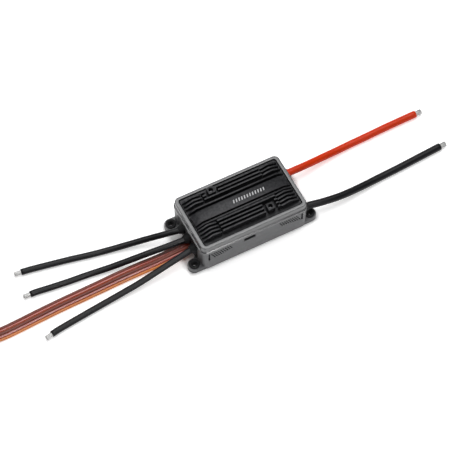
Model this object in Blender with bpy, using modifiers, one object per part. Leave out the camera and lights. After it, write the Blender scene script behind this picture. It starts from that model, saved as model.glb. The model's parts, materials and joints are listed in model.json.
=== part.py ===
"""Electronic speed controller for a brushless motor, with its leads.

A moulded tray and a bezel hold two circuit boards under a finned heat sink, and two long screws
pull the heat sink down onto the bezel's ledge. The origin is the centre of the tray's underside,
+X points towards the battery leads and +Z is up. Sizes are in millimetres until a mesh is made.
"""

import math

import bmesh
import bpy
from mathutils import Matrix, Vector

MM = 0.001
GAP = 0.3

# Tray and bezel: half lengths, half widths and heights.
TRAY_HALF = (25.45, 14.55)
TRAY_TOP = 12.3
TRAY_WALL = 1.3
TRAY_FLOOR = 1.5
TRAY_CORNER = 2.6
BEZEL_HALF = (25.5, 14.6)
LIP_PROUD = 0.2
LIP_HEIGHT = 0.35
BEZEL_TOP = 16.5
SHOULDER = 0.6
RIM_HALF = (23.6, 12.9)
LEDGE_HALF = (22.6, 11.9)
LEDGE_TOP = 14.4
TONGUE_DROP = 1.2

# Mounting ears at the four corners.
EAR_CENTRE = (28.0, 11.25)
EAR_RADIUS = 2.9
EAR_HEIGHT = 2.5
EAR_BORE = 2.0
GROMMET_FLANGE = 2.25
GROMMET_HOLE = 1.0
GROMMET_RISE = 0.6

# Side face details: a window for the status light, end slots and slanted grooves.
WINDOW_X = -2.9
WINDOW_Z = 10.4
WINDOW_SIZE = (5.2, 1.8)
END_SLOT_X = 22.4
END_SLOT_SPAN = (6.4, 11.4)
GROOVE_DEPTH = 0.6
GROOVE_WIDTH = 0.5
GROOVE_PITCH = 1.05
GROOVE_COUNT = 9
GROOVE_START = 20.5
GROOVE_TOP = 11.5
GROOVE_LENGTH = 4.8
GROOVE_FADE = 0.2
GROOVE_LEAN = math.radians(-25)

# Heat sink.
SINK_TOP = 19.0
SINK_PLATE_TOP = 16.0
SINK_UNDERSIDE = 13.0
LAND_HALF_WIDTH = 2.73
FLAT_HALF_LENGTH = 19.45
SLOPE_END = 22.8
SLOPE_DROP = 1.7
FIN_WIDTH = 0.78
MAIN_HALF = 13.8
SEGMENT_START = 14.2
SEGMENT_KINK = 18.3
SEGMENT_DIP = 0.85
BOSS_SIZE = 3.4
BOSS_CLEARING = 2.9
BOSS_BORE = 1.0
BOSS_STEP = 17.6
BOSSES = ((-9.2, 9.8), (9.7, -9.0))
LONG_FINS = (4.3, -3.9)
INNER_FINS = (6.8, -5.1)
BACK_OUTER_FINS = (8.5, 10.3)
FRONT_OUTER_FINS = (-6.9, -8.7, -10.5)
SHALLOW_GROOVE_DEPTH = 0.5

# Boards and what they carry, from the floor up.
POST_TOP = 3.9
SCREW_POST = 2.9
BOARD_POST = 1.6
CONTROL_BOARD = ((-17.0, -12.4, 4.2), (11.5, 12.4, 5.2))
POWER_BOARD = ((-22.3, -12.2, 8.8), (22.3, 12.2, 10.4))
POWER_UNDERSIDE = POWER_BOARD[0][2] - GAP
CHIP_BASE = CONTROL_BOARD[1][2] + GAP
MOSFET_BASE = POWER_BOARD[1][2] + GAP
MOSFET_SIZE = (5.2, 6.0, 1.0)
PAD_BASE = MOSFET_BASE + MOSFET_SIZE[2] + GAP
PAD_HALF = (19.0, 7.6)
SCREW_CLEARANCE = 1.35
SCREW_RADIUS = 1.0
SCREW_BORE = 1.3
SCREW_HEAD = 1.9
SCREW_HEAD_BORE = 2.2
SCREW_HEAD_HEIGHT = 1.2
SCREW_TIP = 17.2

# Leads: radii, heights at the seals and where the seals sit.
OUTPUT_RADIUS = 1.4
INPUT_RADIUS = 1.65
CORE = 1.2
RIBBON_WIDTH = 3 * CORE
SEAL_BOTTOM = 2.9
COLLAR_PROUD = 0.9
OUTPUT_Z = 6.8
INPUT_Z = 6.3
OUTPUT_Y = (4.6, -0.7, -6.3)
INPUT_Y = (9.0, -9.4)
OUTPUT_SEAL_HALF = 9.2
INPUT_SEAL_HALF = 12.2
RIBBON_PORT = ((-5.9, 1.1), (1.2, 4.75))
RIBBON_FRONT_TILT = math.radians(40)
TIP_LENGTH = 3.0

# The coil of signal lead that is put away, its tie and the two plugs inside it.
COIL_CENTRE = (-140.0, 17.5)
COIL_RADII = (16.4, 22.8)
COIL_BOTTOM = 0.8
TIE_WIDTH = 5.0
TIE_THICK = 0.5
PLUG_SIZE = (7.6, 14.0, 2.6)
PLUG_OFFSET = (-8.6, 0.9)

# Routes of the free leads, from inside the tray to the cut end.
OUTPUT_ROUTES = (
    ((-20.5, 4.6, 6.8), (-27.0, 4.7, 6.7), (-33.5, 6.2, 5.8), (-40.2, 8.3, 4.2), (-48.4, 10.5, 2.6),
     (-57.0, 12.4, 1.6), (-65.7, 14.1, 1.4), (-74.3, 16.0, 1.4), (-83.0, 17.7, 1.4),
     (-91.6, 19.3, 1.4), (-95.2, 19.8, 1.4)),
    ((-20.5, -0.7, 6.8), (-27.0, -0.7, 6.7), (-35.0, 0.1, 6.1), (-44.0, 1.4, 5.0), (-52.5, 2.7, 3.6),
     (-61.0, 4.1, 2.2), (-70.0, 5.5, 1.45), (-78.9, 6.3, 1.4), (-87.8, 7.3, 1.4),
     (-93.1, 8.0, 1.4), (-96.2, 8.2, 1.4)),
    ((-20.5, -6.3, 6.8), (-27.0, -6.4, 6.6), (-35.0, -7.3, 5.7), (-43.5, -8.2, 4.6),
     (-52.5, -9.1, 3.3), (-61.2, -9.6, 2.2), (-71.9, -10.4, 1.45), (-82.1, -11.5, 1.4),
     (-92.3, -12.7, 1.4), (-96.0, -13.4, 1.4)),
)
RED_ROUTE = (
    (21.5, 9.0, 6.3), (27.5, 9.1, 6.3), (34.8, 9.4, 5.7), (40.0, 10.0, 4.7), (45.3, 10.8, 3.5),
    (53.2, 11.7, 2.2), (61.2, 12.3, 1.65), (69.0, 12.5, 1.65), (76.9, 12.8, 1.65),
    (84.7, 13.0, 1.65), (92.4, 13.1, 1.65), (95.2, 13.1, 1.65),
)
BLACK_ROUTE = (
    (21.5, -9.4, 6.3), (27.5, -9.6, 6.3), (36.0, -10.6, 5.5), (44.5, -10.8, 4.3),
    (53.8, -10.0, 2.8), (64.3, -9.0, 1.8), (74.9, -8.4, 1.65), (85.5, -7.7, 1.65),
    (93.0, -7.2, 1.65), (96.2, -7.0, 1.65),
)
# The two flat signal leads run as a pair, so they share one route for the pair's middle.
RIBBON_ROUTE = (
    (-18.5, -2.4, 1.75), (-27.0, -2.4, 1.75), (-33.0, -2.4, 1.6), (-38.0, -2.4, 1.3),
    (-43.0, -2.3, 1.0), (-49.5, -1.9, 0.5), (-58.9, -1.7, 0.1), (-68.5, -1.9, 0.0),
    (-77.9, -2.1, 0.0), (-87.3, -2.3, 0.0), (-96.8, -2.7, 0.0), (-106.3, -3.2, 0.0),
    (-114.0, -3.4, 0.0),
)
# Middle of each flat lead beside and above the pair's route: across, up and tilt.
RIBBON_PLACES = {
    "bec_lead": (1.17, 0.6, 0.0),
    "throttle_lead": (-1.45, 1.4, RIBBON_FRONT_TILT),
}
# Where each flat lead stands on edge beside the coil.
RIBBON_ENDS = {
    "bec_lead": (-127.5, -2.7),
    "throttle_lead": (-127.5, -4.9),
}


# ---------------------------------------------------------------- scene and materials

def clear_scene():
    for obj in list(bpy.data.objects):
        bpy.data.objects.remove(obj, do_unlink=True)


def collection(name):
    group = bpy.data.collections.new(name)
    bpy.context.scene.collection.children.link(group)
    return group


def material(name, colour, roughness, metallic=0.0):
    mat = bpy.data.materials.new(name)
    mat.use_nodes = True
    shader = mat.node_tree.nodes["Principled BSDF"]
    shader.inputs["Base Color"].default_value = (*colour, 1.0)
    shader.inputs["Roughness"].default_value = roughness
    shader.inputs["Metallic"].default_value = metallic
    return mat


def make_materials():
    return {
        "case_plastic": material("case_plastic", (0.11, 0.11, 0.115), 0.5),
        "black_anodised": material("black_anodised", (0.03, 0.03, 0.033), 0.42, 0.8),
        "black_rubber": material("black_rubber", (0.012, 0.012, 0.013), 0.6),
        "lead_black": material("lead_black", (0.013, 0.013, 0.015), 0.45),
        "lead_red": material("lead_red", (0.6, 0.035, 0.008), 0.45),
        "servo_lead": material("servo_lead", (0.5, 0.1, 0.02), 0.4),
        "tinned_copper": material("tinned_copper", (0.6, 0.6, 0.6), 0.35, 1.0),
        "board_laminate": material("board_laminate", (0.01, 0.06, 0.03), 0.45),
        "chip_epoxy": material("chip_epoxy", (0.02, 0.02, 0.02), 0.55),
        "capacitor_can": material("capacitor_can", (0.7, 0.7, 0.7), 0.3, 1.0),
        "ferrite": material("ferrite", (0.05, 0.05, 0.055), 0.6),
        "shunt_alloy": material("shunt_alloy", (0.45, 0.38, 0.3), 0.35, 1.0),
        "header_plastic": material("header_plastic", (0.015, 0.015, 0.015), 0.5),
        "lamp_lens": material("lamp_lens", (0.7, 0.75, 0.7), 0.2),
        "thermal_pad": material("thermal_pad", (0.3, 0.35, 0.45), 0.8),
        "screw_steel": material("screw_steel", (0.25, 0.25, 0.26), 0.35, 1.0),
        "plug_plastic": material("plug_plastic", (0.02, 0.02, 0.02), 0.45),
        "tie_plastic": material("tie_plastic", (0.02, 0.02, 0.02), 0.5),
    }


# ---------------------------------------------------------------- shapes

def finish_mesh(name, bm):
    mesh = bpy.data.meshes.new(name)
    bm.normal_update()
    bm.to_mesh(mesh)
    bm.free()
    return mesh


def place(name, mesh, centre, mat, group):
    obj = bpy.data.objects.new(name, mesh)
    obj.location = Vector(centre) * MM
    if mat:
        mesh.materials.append(mat)
    group.objects.link(obj)
    return obj


def is_upright(edge):
    a, b = (v.co for v in edge.verts)
    return abs(a.z - b.z) > 0.5 * (a - b).length


def block(name, low, high, mat, group, corner=0.0, segments=4, shoulder=0.0):
    """A block between two corners, its upright edges rounded and its top edge eased."""
    size = Vector(high) - Vector(low)
    centre = (Vector(high) + Vector(low)) / 2
    bm = bmesh.new()
    bmesh.ops.create_cube(bm, size=1.0)
    bmesh.ops.scale(bm, vec=size * MM, verts=bm.verts)
    if corner:
        upright = [e for e in bm.edges if is_upright(e)]
        bmesh.ops.bevel(bm, geom=upright, offset=corner * MM, segments=segments, profile=0.5,
                        affect="EDGES")
    if shoulder:
        top = size.z * MM / 2
        rim = [e for e in bm.edges if all(abs(v.co.z - top) < 1e-7 for v in e.verts)]
        bmesh.ops.bevel(bm, geom=rim, offset=shoulder * MM, segments=2, profile=0.5,
                        affect="EDGES")
    return place(name, finish_mesh(name, bm), centre, mat, group)


def centred_block(name, half, low_z, high_z, mat, group, **rounding):
    return block(name, (-half[0], -half[1], low_z), (half[0], half[1], high_z), mat, group,
                 **rounding)


def cylinder(name, x, y, low_z, high_z, radius, mat, group, sides=24):
    bm = bmesh.new()
    bmesh.ops.create_cone(bm, cap_ends=True, segments=sides, radius1=radius * MM,
                          radius2=radius * MM, depth=(high_z - low_z) * MM)
    return place(name, finish_mesh(name, bm), (x, y, (low_z + high_z) / 2), mat, group)


def turned(name, profile, x, y, mat, group, steps=24):
    """A solid of revolution about Z, from a profile of (radius, z) running down its outside."""
    bm = bmesh.new()
    points = [bm.verts.new((r * MM, 0.0, z * MM)) for r, z in profile]
    closed = profile[0][0] > 0.0
    pairs = zip(points, points[1:] + points[:1]) if closed else zip(points, points[1:])
    for a, b in pairs:
        bm.edges.new((a, b))
    obj = place(name, finish_mesh(name, bm), (x, y, 0.0), mat, group)
    screw = obj.modifiers.new("turn", "SCREW")
    screw.steps = steps
    screw.render_steps = steps
    screw.use_merge_vertices = True
    screw.merge_threshold = 1e-6
    screw.use_smooth_shade = False
    return obj


def outline_solid(name, points, thickness, group):
    """A flat outline in XZ, drawn as a filled curve, given its thickness along Y."""
    curve = bpy.data.curves.new(name, "CURVE")
    curve.dimensions = "2D"
    curve.fill_mode = "BOTH"
    curve.extrude = thickness * MM / 2
    spline = curve.splines.new("POLY")
    spline.points.add(len(points) - 1)
    spline.use_cyclic_u = True
    for point, (x, z) in zip(spline.points, points):
        point.co = (x * MM, z * MM, 0.0, 1.0)
    obj = bpy.data.objects.new(name, curve)
    group.objects.link(obj)
    return as_mesh(obj, group, Matrix.Rotation(math.radians(90), 4, "X"))


def as_mesh(obj, group, matrix):
    """The mesh of a curve object, its caps welded, in place of the curve."""
    depsgraph = bpy.context.evaluated_depsgraph_get()
    mesh = bpy.data.meshes.new_from_object(obj.evaluated_get(depsgraph))
    bm = bmesh.new()
    bm.from_mesh(mesh)
    bmesh.ops.remove_doubles(bm, verts=bm.verts, dist=1e-7)
    bmesh.ops.recalc_face_normals(bm, faces=bm.faces)
    bm.to_mesh(mesh)
    bm.free()
    name = obj.name
    bpy.data.objects.remove(obj, do_unlink=True)
    solid = bpy.data.objects.new(name, mesh)
    solid.matrix_world = matrix
    group.objects.link(solid)
    return solid


def combine(target, operation, tools):
    """Join the tools to a solid, or cut them from it."""
    group = collection(f"{target.name}_{operation.lower()}")
    for tool in tools:
        for old in list(tool.users_collection):
            old.objects.unlink(tool)
        group.objects.link(tool)
        tool.hide_render = True
        tool.display_type = "WIRE"
    modifier = target.modifiers.new(operation.lower(), "BOOLEAN")
    modifier.operation = operation
    modifier.solver = "EXACT"
    modifier.operand_type = "COLLECTION"
    modifier.collection = group


# ---------------------------------------------------------------- tray

def ear_solids(group):
    solids = []
    for side_x in (-1, 1):
        for side_y in (-1, 1):
            x, y = side_x * EAR_CENTRE[0], side_y * EAR_CENTRE[1]
            solids.append(cylinder("ear_round", x, y, 0.0, EAR_HEIGHT, EAR_RADIUS, None, group))
            root_x = side_x * (TRAY_HALF[0] - TRAY_CORNER - 0.5)
            low = (min(x, root_x), y - EAR_RADIUS, 0.0)
            high = (max(x, root_x), y + EAR_RADIUS, EAR_HEIGHT)
            solids.append(block("ear_root", low, high, None, group))
    return solids


def ear_bores(group):
    return [
        cylinder("ear_bore", sx * EAR_CENTRE[0], sy * EAR_CENTRE[1], -1.0, EAR_HEIGHT + 1.0,
                 EAR_BORE, None, group)
        for sx in (-1, 1) for sy in (-1, 1)
    ]


def side_grooves(group):
    """Slanted grooves that shorten towards the middle of each long face, and an end slot."""
    cuts = []
    slot_half = 0.35
    for side_y in (-1, 1):
        face = side_y * TRAY_HALF[1]
        for side_x in (-1, 1):
            x = side_x * END_SLOT_X
            cuts.append(block("end_slot",
                              (x - slot_half, face - GROOVE_DEPTH, END_SLOT_SPAN[0]),
                              (x + slot_half, face + GROOVE_DEPTH, END_SLOT_SPAN[1]),
                              None, group))
            for i in range(GROOVE_COUNT):
                length = GROOVE_LENGTH - GROOVE_FADE * i
                x = side_x * (GROOVE_START - GROOVE_PITCH * i)
                cut = block("groove",
                            (x - GROOVE_WIDTH / 2, face - GROOVE_DEPTH, GROOVE_TOP - length),
                            (x + GROOVE_WIDTH / 2, face + GROOVE_DEPTH, GROOVE_TOP),
                            None, group)
                cut.rotation_euler.y = GROOVE_LEAN
                cuts.append(cut)
    return cuts


def seal_notches(group):
    """Openings in the end walls that the seals drop into from above."""
    depth = TRAY_HALF[0] - TRAY_WALL
    return [
        block("output_notch", (-TRAY_HALF[0] - 1.0, -OUTPUT_SEAL_HALF - GAP, SEAL_BOTTOM),
              (-depth + 1.0, OUTPUT_SEAL_HALF + GAP, TRAY_TOP + 1.0), None, group),
        block("input_notch", (depth - 1.0, -INPUT_SEAL_HALF - GAP, SEAL_BOTTOM),
              (TRAY_HALF[0] + 1.0, INPUT_SEAL_HALF + GAP, TRAY_TOP + 1.0), None, group),
        block("signal_notch", (-TRAY_HALF[0] - 1.0, RIBBON_PORT[0][0] - GAP, RIBBON_PORT[1][0] + GAP),
              (-depth + 1.0, RIBBON_PORT[0][1] + GAP, SEAL_BOTTOM + 0.5), None, group),
    ]


def make_tray(mats, parts, cutters):
    tray = centred_block("bottom_case", TRAY_HALF, 0.0, TRAY_TOP, mats["case_plastic"], parts,
                         corner=TRAY_CORNER)
    inner = (TRAY_HALF[0] - TRAY_WALL, TRAY_HALF[1] - TRAY_WALL)
    combine(tray, "DIFFERENCE", [
        centred_block("tray_cavity", inner, TRAY_FLOOR, TRAY_TOP + 1.0, None, cutters,
                      corner=TRAY_CORNER - TRAY_WALL, segments=3)])
    foot = TRAY_FLOOR - 0.5
    posts = [cylinder("screw_post", x, y, foot, POST_TOP, SCREW_POST, None, cutters)
             for x, y in BOSSES]
    posts += [cylinder("board_post", x, -y, foot, POST_TOP, BOARD_POST, None, cutters, sides=16)
              for x, y in BOSSES]
    combine(tray, "UNION", ear_solids(cutters) + posts)
    holes = ear_bores(cutters)
    for x, y in BOSSES:
        holes.append(cylinder("screw_bore", x, y, -1.0, POST_TOP + 1.0, SCREW_BORE, None, cutters))
        holes.append(cylinder("head_bore", x, y, -1.0, SCREW_HEAD_HEIGHT + 0.6, SCREW_HEAD_BORE,
                              None, cutters))
    window_x, window_z = WINDOW_SIZE[0] / 2, WINDOW_SIZE[1] / 2
    holes.append(block("light_window",
                       (WINDOW_X - window_x, -TRAY_HALF[1] - 1.0, WINDOW_Z - window_z),
                       (WINDOW_X + window_x, -TRAY_HALF[1] + TRAY_WALL + 0.5, WINDOW_Z + window_z),
                       None, cutters))
    combine(tray, "DIFFERENCE", holes + side_grooves(cutters) + seal_notches(cutters))
    return tray


# ---------------------------------------------------------------- bezel and heat sink

def make_bezel(mats, parts, cutters):
    bottom = TRAY_TOP + GAP
    bezel = centred_block("top_bezel", BEZEL_HALF, bottom, BEZEL_TOP, mats["case_plastic"], parts,
                          corner=TRAY_CORNER, shoulder=SHOULDER)
    lip_half = (BEZEL_HALF[0] + LIP_PROUD, BEZEL_HALF[1] + LIP_PROUD)
    tongue_half = (TRAY_HALF[0] - TRAY_WALL - GAP, TRAY_HALF[1] - TRAY_WALL - GAP)
    combine(bezel, "UNION", [
        centred_block("lip", lip_half, bottom, bottom + LIP_HEIGHT, None, cutters,
                      corner=TRAY_CORNER + LIP_PROUD),
        centred_block("tongue", tongue_half, bottom - TONGUE_DROP, bottom + 0.5, None, cutters,
                      corner=1.2, segments=3)])
    combine(bezel, "DIFFERENCE", [
        centred_block("rim_opening", RIM_HALF, LEDGE_TOP, BEZEL_TOP + 1.0, None, cutters,
                      corner=1.8),
        centred_block("ledge_opening", LEDGE_HALF, bottom - TONGUE_DROP - 1.0, LEDGE_TOP + 0.5,
                      None, cutters, corner=1.2, segments=3)])
    return bezel


def bar_outline(start, end):
    low = SINK_PLATE_TOP - 0.4
    return ((start, low), (start, SINK_TOP), (end, SINK_TOP), (end, low))


def long_outline():
    """A bar at full height over the middle that slopes down at both ends."""
    low = SINK_PLATE_TOP - 0.4
    toe = SINK_TOP - SLOPE_DROP
    return ((-SLOPE_END, low), (-SLOPE_END, toe), (-FLAT_HALF_LENGTH, SINK_TOP),
            (FLAT_HALF_LENGTH, SINK_TOP), (SLOPE_END, toe), (SLOPE_END, low))


def segment_outline(side):
    """A short end fin that rises outwards to a kink and then slopes down."""
    low = SINK_PLATE_TOP - 0.4
    return ((side * SEGMENT_START, low), (side * SEGMENT_START, SINK_TOP - SEGMENT_DIP),
            (side * SEGMENT_KINK, SINK_TOP), (side * SLOPE_END, SINK_TOP - SLOPE_DROP),
            (side * SLOPE_END, low))


def row_spans(y):
    """The stretches of full-height fin in one row, left open round a screw boss."""
    spans = [(-MAIN_HALF, MAIN_HALF)]
    for boss_x, boss_y in BOSSES:
        rows = BACK_OUTER_FINS if boss_y > 0 else FRONT_OUTER_FINS
        if y in rows:
            spans = [(-MAIN_HALF, boss_x - BOSS_CLEARING), (boss_x + BOSS_CLEARING, MAIN_HALF)]
    return spans


def fin_solids(group):
    def fin(outline, y, width=FIN_WIDTH):
        solid = outline_solid("fin", outline, width, group)
        solid.location.y = y * MM
        return solid

    solids = [fin(long_outline(), 0.0, 2 * LAND_HALF_WIDTH)]
    solids += [fin(long_outline(), y) for y in LONG_FINS]
    for y in INNER_FINS + BACK_OUTER_FINS + FRONT_OUTER_FINS:
        solids += [fin(bar_outline(*span), y) for span in row_spans(y)]
        solids += [fin(segment_outline(side), y) for side in (-1, 1)]
    return solids


def make_heat_sink(mats, parts, cutters):
    sink = centred_block("heat_sink", (RIM_HALF[0] - GAP, RIM_HALF[1] - GAP), LEDGE_TOP + GAP,
                         SINK_PLATE_TOP, mats["black_anodised"], parts, corner=1.5)
    spigot_half = (LEDGE_HALF[0] - GAP, LEDGE_HALF[1] - GAP)
    web_y = (LONG_FINS[1], INNER_FINS[1])
    tools = [centred_block("spigot", spigot_half, SINK_UNDERSIDE, LEDGE_TOP + GAP + 0.4, None,
                           cutters, corner=1.0, segments=3),
             block("shallow_web", (-MAIN_HALF, web_y[1], SINK_PLATE_TOP - 0.4),
                   (MAIN_HALF, web_y[0], SINK_TOP - SHALLOW_GROOVE_DEPTH), None, cutters)]
    tools += fin_solids(cutters)
    half = BOSS_SIZE / 2
    tools += [block("boss", (x - half, y - half, SINK_PLATE_TOP - 0.4),
                    (x + half, y + half, SINK_TOP), None, cutters) for x, y in BOSSES]
    combine(sink, "UNION", tools)
    bores = []
    for x, y in BOSSES:
        bores.append(cylinder("screw_bore", x, y, SINK_UNDERSIDE - 1.0, BOSS_STEP, SCREW_BORE,
                              None, cutters, sides=20))
        bores.append(cylinder("boss_bore", x, y, BOSS_STEP - 0.5, SINK_TOP + 1.0, BOSS_BORE,
                              None, cutters, sides=20))
    combine(sink, "DIFFERENCE", bores)
    return sink


# ---------------------------------------------------------------- boards and components

def make_board(name, corners, mats, parts, cutters):
    board = block(name, *corners, mats["board_laminate"], parts)
    combine(board, "DIFFERENCE", [
        cylinder("board_bore", x, y, corners[0][2] - 1.0, corners[1][2] + 1.0, SCREW_CLEARANCE,
                 None, cutters, sides=20) for x, y in BOSSES])


def chip(name, x, y, base, size, mat, parts):
    half_x, half_y = size[0] / 2, size[1] / 2
    block(name, (x - half_x, y - half_y, base), (x + half_x, y + half_y, base + size[2]), mat,
          parts)


def make_electronics(mats, parts, cutters):
    make_board("control_board", CONTROL_BOARD, mats, parts, cutters)
    make_board("power_board", POWER_BOARD, mats, parts, cutters)
    columns = (-14.0, 0.0, 14.0)
    mosfet_places = [(x, y) for x in columns for y in (-4.6, 4.6)]
    for i, (x, y) in enumerate(mosfet_places, 1):
        chip(f"mosfet_{i}", x, y, MOSFET_BASE, MOSFET_SIZE, mats["chip_epoxy"], parts)
    for i, x in enumerate((-13.0, -6.5, 0.0), 1):
        chip(f"gate_driver_{i}", x, 4.6, CHIP_BASE, (4.0, 4.0, 0.9), mats["chip_epoxy"], parts)
    chip("microcontroller", -11.0, -5.0, CHIP_BASE, (7.0, 7.0, 1.0), mats["chip_epoxy"], parts)
    chip("bec_regulator", 3.0, -9.3, CHIP_BASE, (5.0, 4.0, 1.5), mats["chip_epoxy"], parts)
    chip("bec_inductor", 4.6, -2.0, CHIP_BASE, (7.0, 7.0, 2.8), mats["ferrite"], parts)
    chip("thermal_pad", 0.0, 0.0, PAD_BASE, (2 * PAD_HALF[0], 2 * PAD_HALF[1], 0.7),
         mats["thermal_pad"], parts)
    shunt_height = 0.8
    chip("current_shunt", 8.0, 5.0, POWER_UNDERSIDE - shunt_height, (6.3, 3.2, shunt_height),
         mats["shunt_alloy"], parts)
    header_height = POWER_UNDERSIDE - CHIP_BASE
    for i, (x, y) in enumerate(((4.0, 10.8), (-6.0, -10.8)), 1):
        chip(f"board_header_{i}", x, y, CHIP_BASE, (10.0, 2.2, header_height),
             mats["header_plastic"], parts)
    chip("status_light", WINDOW_X, -11.2, MOSFET_BASE, (1.6, 0.8, 0.6), mats["lamp_lens"], parts)
    can_radius, can_height = 3.15, 5.8
    for i, y in enumerate((-7.6, 0.0, 7.6), 1):
        low = POWER_UNDERSIDE - can_height
        turned(f"input_capacitor_{i}",
               ((0.0, POWER_UNDERSIDE), (can_radius, POWER_UNDERSIDE),
                (can_radius, low + 0.4), (can_radius - 0.4, low), (0.0, low)),
               15.6, y, mats["capacitor_can"], parts, steps=20)


# ---------------------------------------------------------------- fasteners, grommets, seals

def make_screws(mats, parts):
    head_low = 0.3
    head_high = head_low + SCREW_HEAD_HEIGHT
    for i, (x, y) in enumerate(BOSSES, 1):
        turned(f"case_screw_{i}",
               ((0.0, SCREW_TIP), (SCREW_RADIUS - 0.3, SCREW_TIP), (SCREW_RADIUS, SCREW_TIP - 0.3),
                (SCREW_RADIUS, head_high), (SCREW_HEAD, head_high), (SCREW_HEAD, head_low),
                (SCREW_RADIUS, head_low), (SCREW_RADIUS - 0.25, head_low + 0.6),
                (0.0, head_low + 0.6)),
               x, y, mats["screw_steel"], parts, steps=20)


def make_grommets(mats, parts):
    """A rubber grommet in each ear: a sleeve with a domed flange on top and a stepped hole."""
    sleeve = EAR_BORE - GAP
    low = EAR_HEIGHT + GAP
    top = low + GROMMET_RISE
    profile = ((GROMMET_HOLE + 0.35, top), (GROMMET_FLANGE - 0.3, top), (GROMMET_FLANGE, top - 0.3),
               (GROMMET_FLANGE, low), (sleeve, low), (sleeve, 0.3), (GROMMET_HOLE, 0.3),
               (GROMMET_HOLE, top - 0.35), (GROMMET_HOLE + 0.35, top - 0.35))
    names = {(-1, 1): "back_left", (-1, -1): "front_left", (1, 1): "back_right",
             (1, -1): "front_right"}
    for (sx, sy), where in names.items():
        turned(f"ear_grommet_{where}", profile, sx * EAR_CENTRE[0], sy * EAR_CENTRE[1],
               mats["black_rubber"], parts)


def lead_bore(name, x, y, z, radius, group):
    bore = cylinder(name, x, y, -3.0, 3.0, radius, None, group, sides=20)
    bore.rotation_euler.y = math.radians(90)
    bore.location = Vector((x, y, z)) * MM
    return bore


def make_seal(name, side, lead_ys, lead_z, radius, half_width, mats, parts, cutters):
    """A moulded strip that fills one end notch, with a collar round each lead."""
    inner = TRAY_HALF[0] - TRAY_WALL
    near, far = sorted((side * inner, side * TRAY_HALF[0]))
    low_z, high_z = SEAL_BOTTOM + GAP, TRAY_TOP - GAP
    seal = block(name, (near, -half_width, low_z), (far, half_width, high_z),
                 mats["black_rubber"], parts)
    collars = []
    for y in lead_ys:
        x = side * (TRAY_HALF[0] + (COLLAR_PROUD - 0.5) / 2)
        collar = cylinder("collar", x, y, 0.0, COLLAR_PROUD + 0.5, radius + 1.05, None, cutters)
        collar.rotation_euler.y = math.radians(90)
        collar.location = Vector((x, y, lead_z)) * MM
        collars.append(collar)
    combine(seal, "UNION", collars)
    bores = [lead_bore("lead_bore", side * TRAY_HALF[0], y, lead_z, radius + GAP, cutters)
             for y in lead_ys]
    if side < 0:
        bores.append(block("signal_port", (near - 1.0, RIBBON_PORT[0][0], SEAL_BOTTOM - 1.0),
                           (far + 1.0, RIBBON_PORT[0][1], RIBBON_PORT[1][1]), None, cutters))
    combine(seal, "DIFFERENCE", bores)


def make_seals(mats, parts, cutters):
    make_seal("output_lead_seal", -1, OUTPUT_Y, OUTPUT_Z, OUTPUT_RADIUS,
              OUTPUT_SEAL_HALF, mats, parts, cutters)
    make_seal("input_lead_seal", 1, INPUT_Y, INPUT_Z, INPUT_RADIUS,
              INPUT_SEAL_HALF, mats, parts, cutters)


# ---------------------------------------------------------------- leads

def smooth_line(points, spacing, lowest=0.0):
    """Evenly spaced points on a smooth curve through a route's own points."""
    ends = [2 * Vector(points[0]) - Vector(points[1]), 2 * Vector(points[-1]) - Vector(points[-2])]
    knots = [ends[0], *map(Vector, points), ends[1]]
    fine = []
    steps = 24
    for a, b, c, d in zip(knots, knots[1:], knots[2:], knots[3:]):
        for i in range(steps):
            t = i / steps
            fine.append(0.5 * (2 * b + (c - a) * t + (2 * a - 5 * b + 4 * c - d) * t ** 2
                               + (3 * b - a - 3 * c + d) * t ** 3))
    fine.append(Vector(points[-1]))
    total = sum((q - p).length for p, q in zip(fine, fine[1:]))
    count = max(2, round(total / spacing))
    line, travelled, wanted = [fine[0]], 0.0, total / count
    for p, q in zip(fine, fine[1:]):
        step = (q - p).length
        while travelled + step >= wanted * len(line) and len(line) < count:
            line.append(p.lerp(q, (wanted * len(line) - travelled) / step))
        travelled += step
    line.append(fine[-1])
    return [Vector((p.x, p.y, max(p.z, lowest))) for p in line]


def tube(name, line, radius, mat, group, half_flat=0.0, tilts=None):
    """A lead along a line: round, or flat when it has a half width beyond its round edges."""
    curve = bpy.data.curves.new(name, "CURVE")
    curve.dimensions = "3D"
    curve.twist_mode = "Z_UP"
    curve.bevel_depth = radius * MM
    curve.bevel_resolution = 2
    curve.extrude = half_flat * MM
    curve.use_fill_caps = True
    spline = curve.splines.new("POLY")
    spline.points.add(len(line) - 1)
    for i, point in enumerate(line):
        spline.points[i].co = (*(point * MM), 1.0)
        spline.points[i].tilt = tilts[i] if tilts else 0.0
    curve.materials.append(mat)
    obj = bpy.data.objects.new(name, curve)
    group.objects.link(obj)
    return obj


def make_tip(name, line, radius, mat, group):
    """The tinned end of a lead's strands, a rounded stub beyond the cut insulation."""
    heading = (line[-1] - line[-2]).normalized()
    profile = ((0.0, TIP_LENGTH), (0.55 * radius, TIP_LENGTH - 0.12),
               (0.9 * radius, TIP_LENGTH - 0.5), (radius, TIP_LENGTH - 1.0), (radius, 0.0),
               (0.0, 0.0))
    tip = turned(name, profile, 0.0, 0.0, mat, group, steps=12)
    tip.location = (line[-1] + heading * GAP) * MM
    tip.rotation_euler = heading.to_track_quat("Z", "Y").to_euler()


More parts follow.
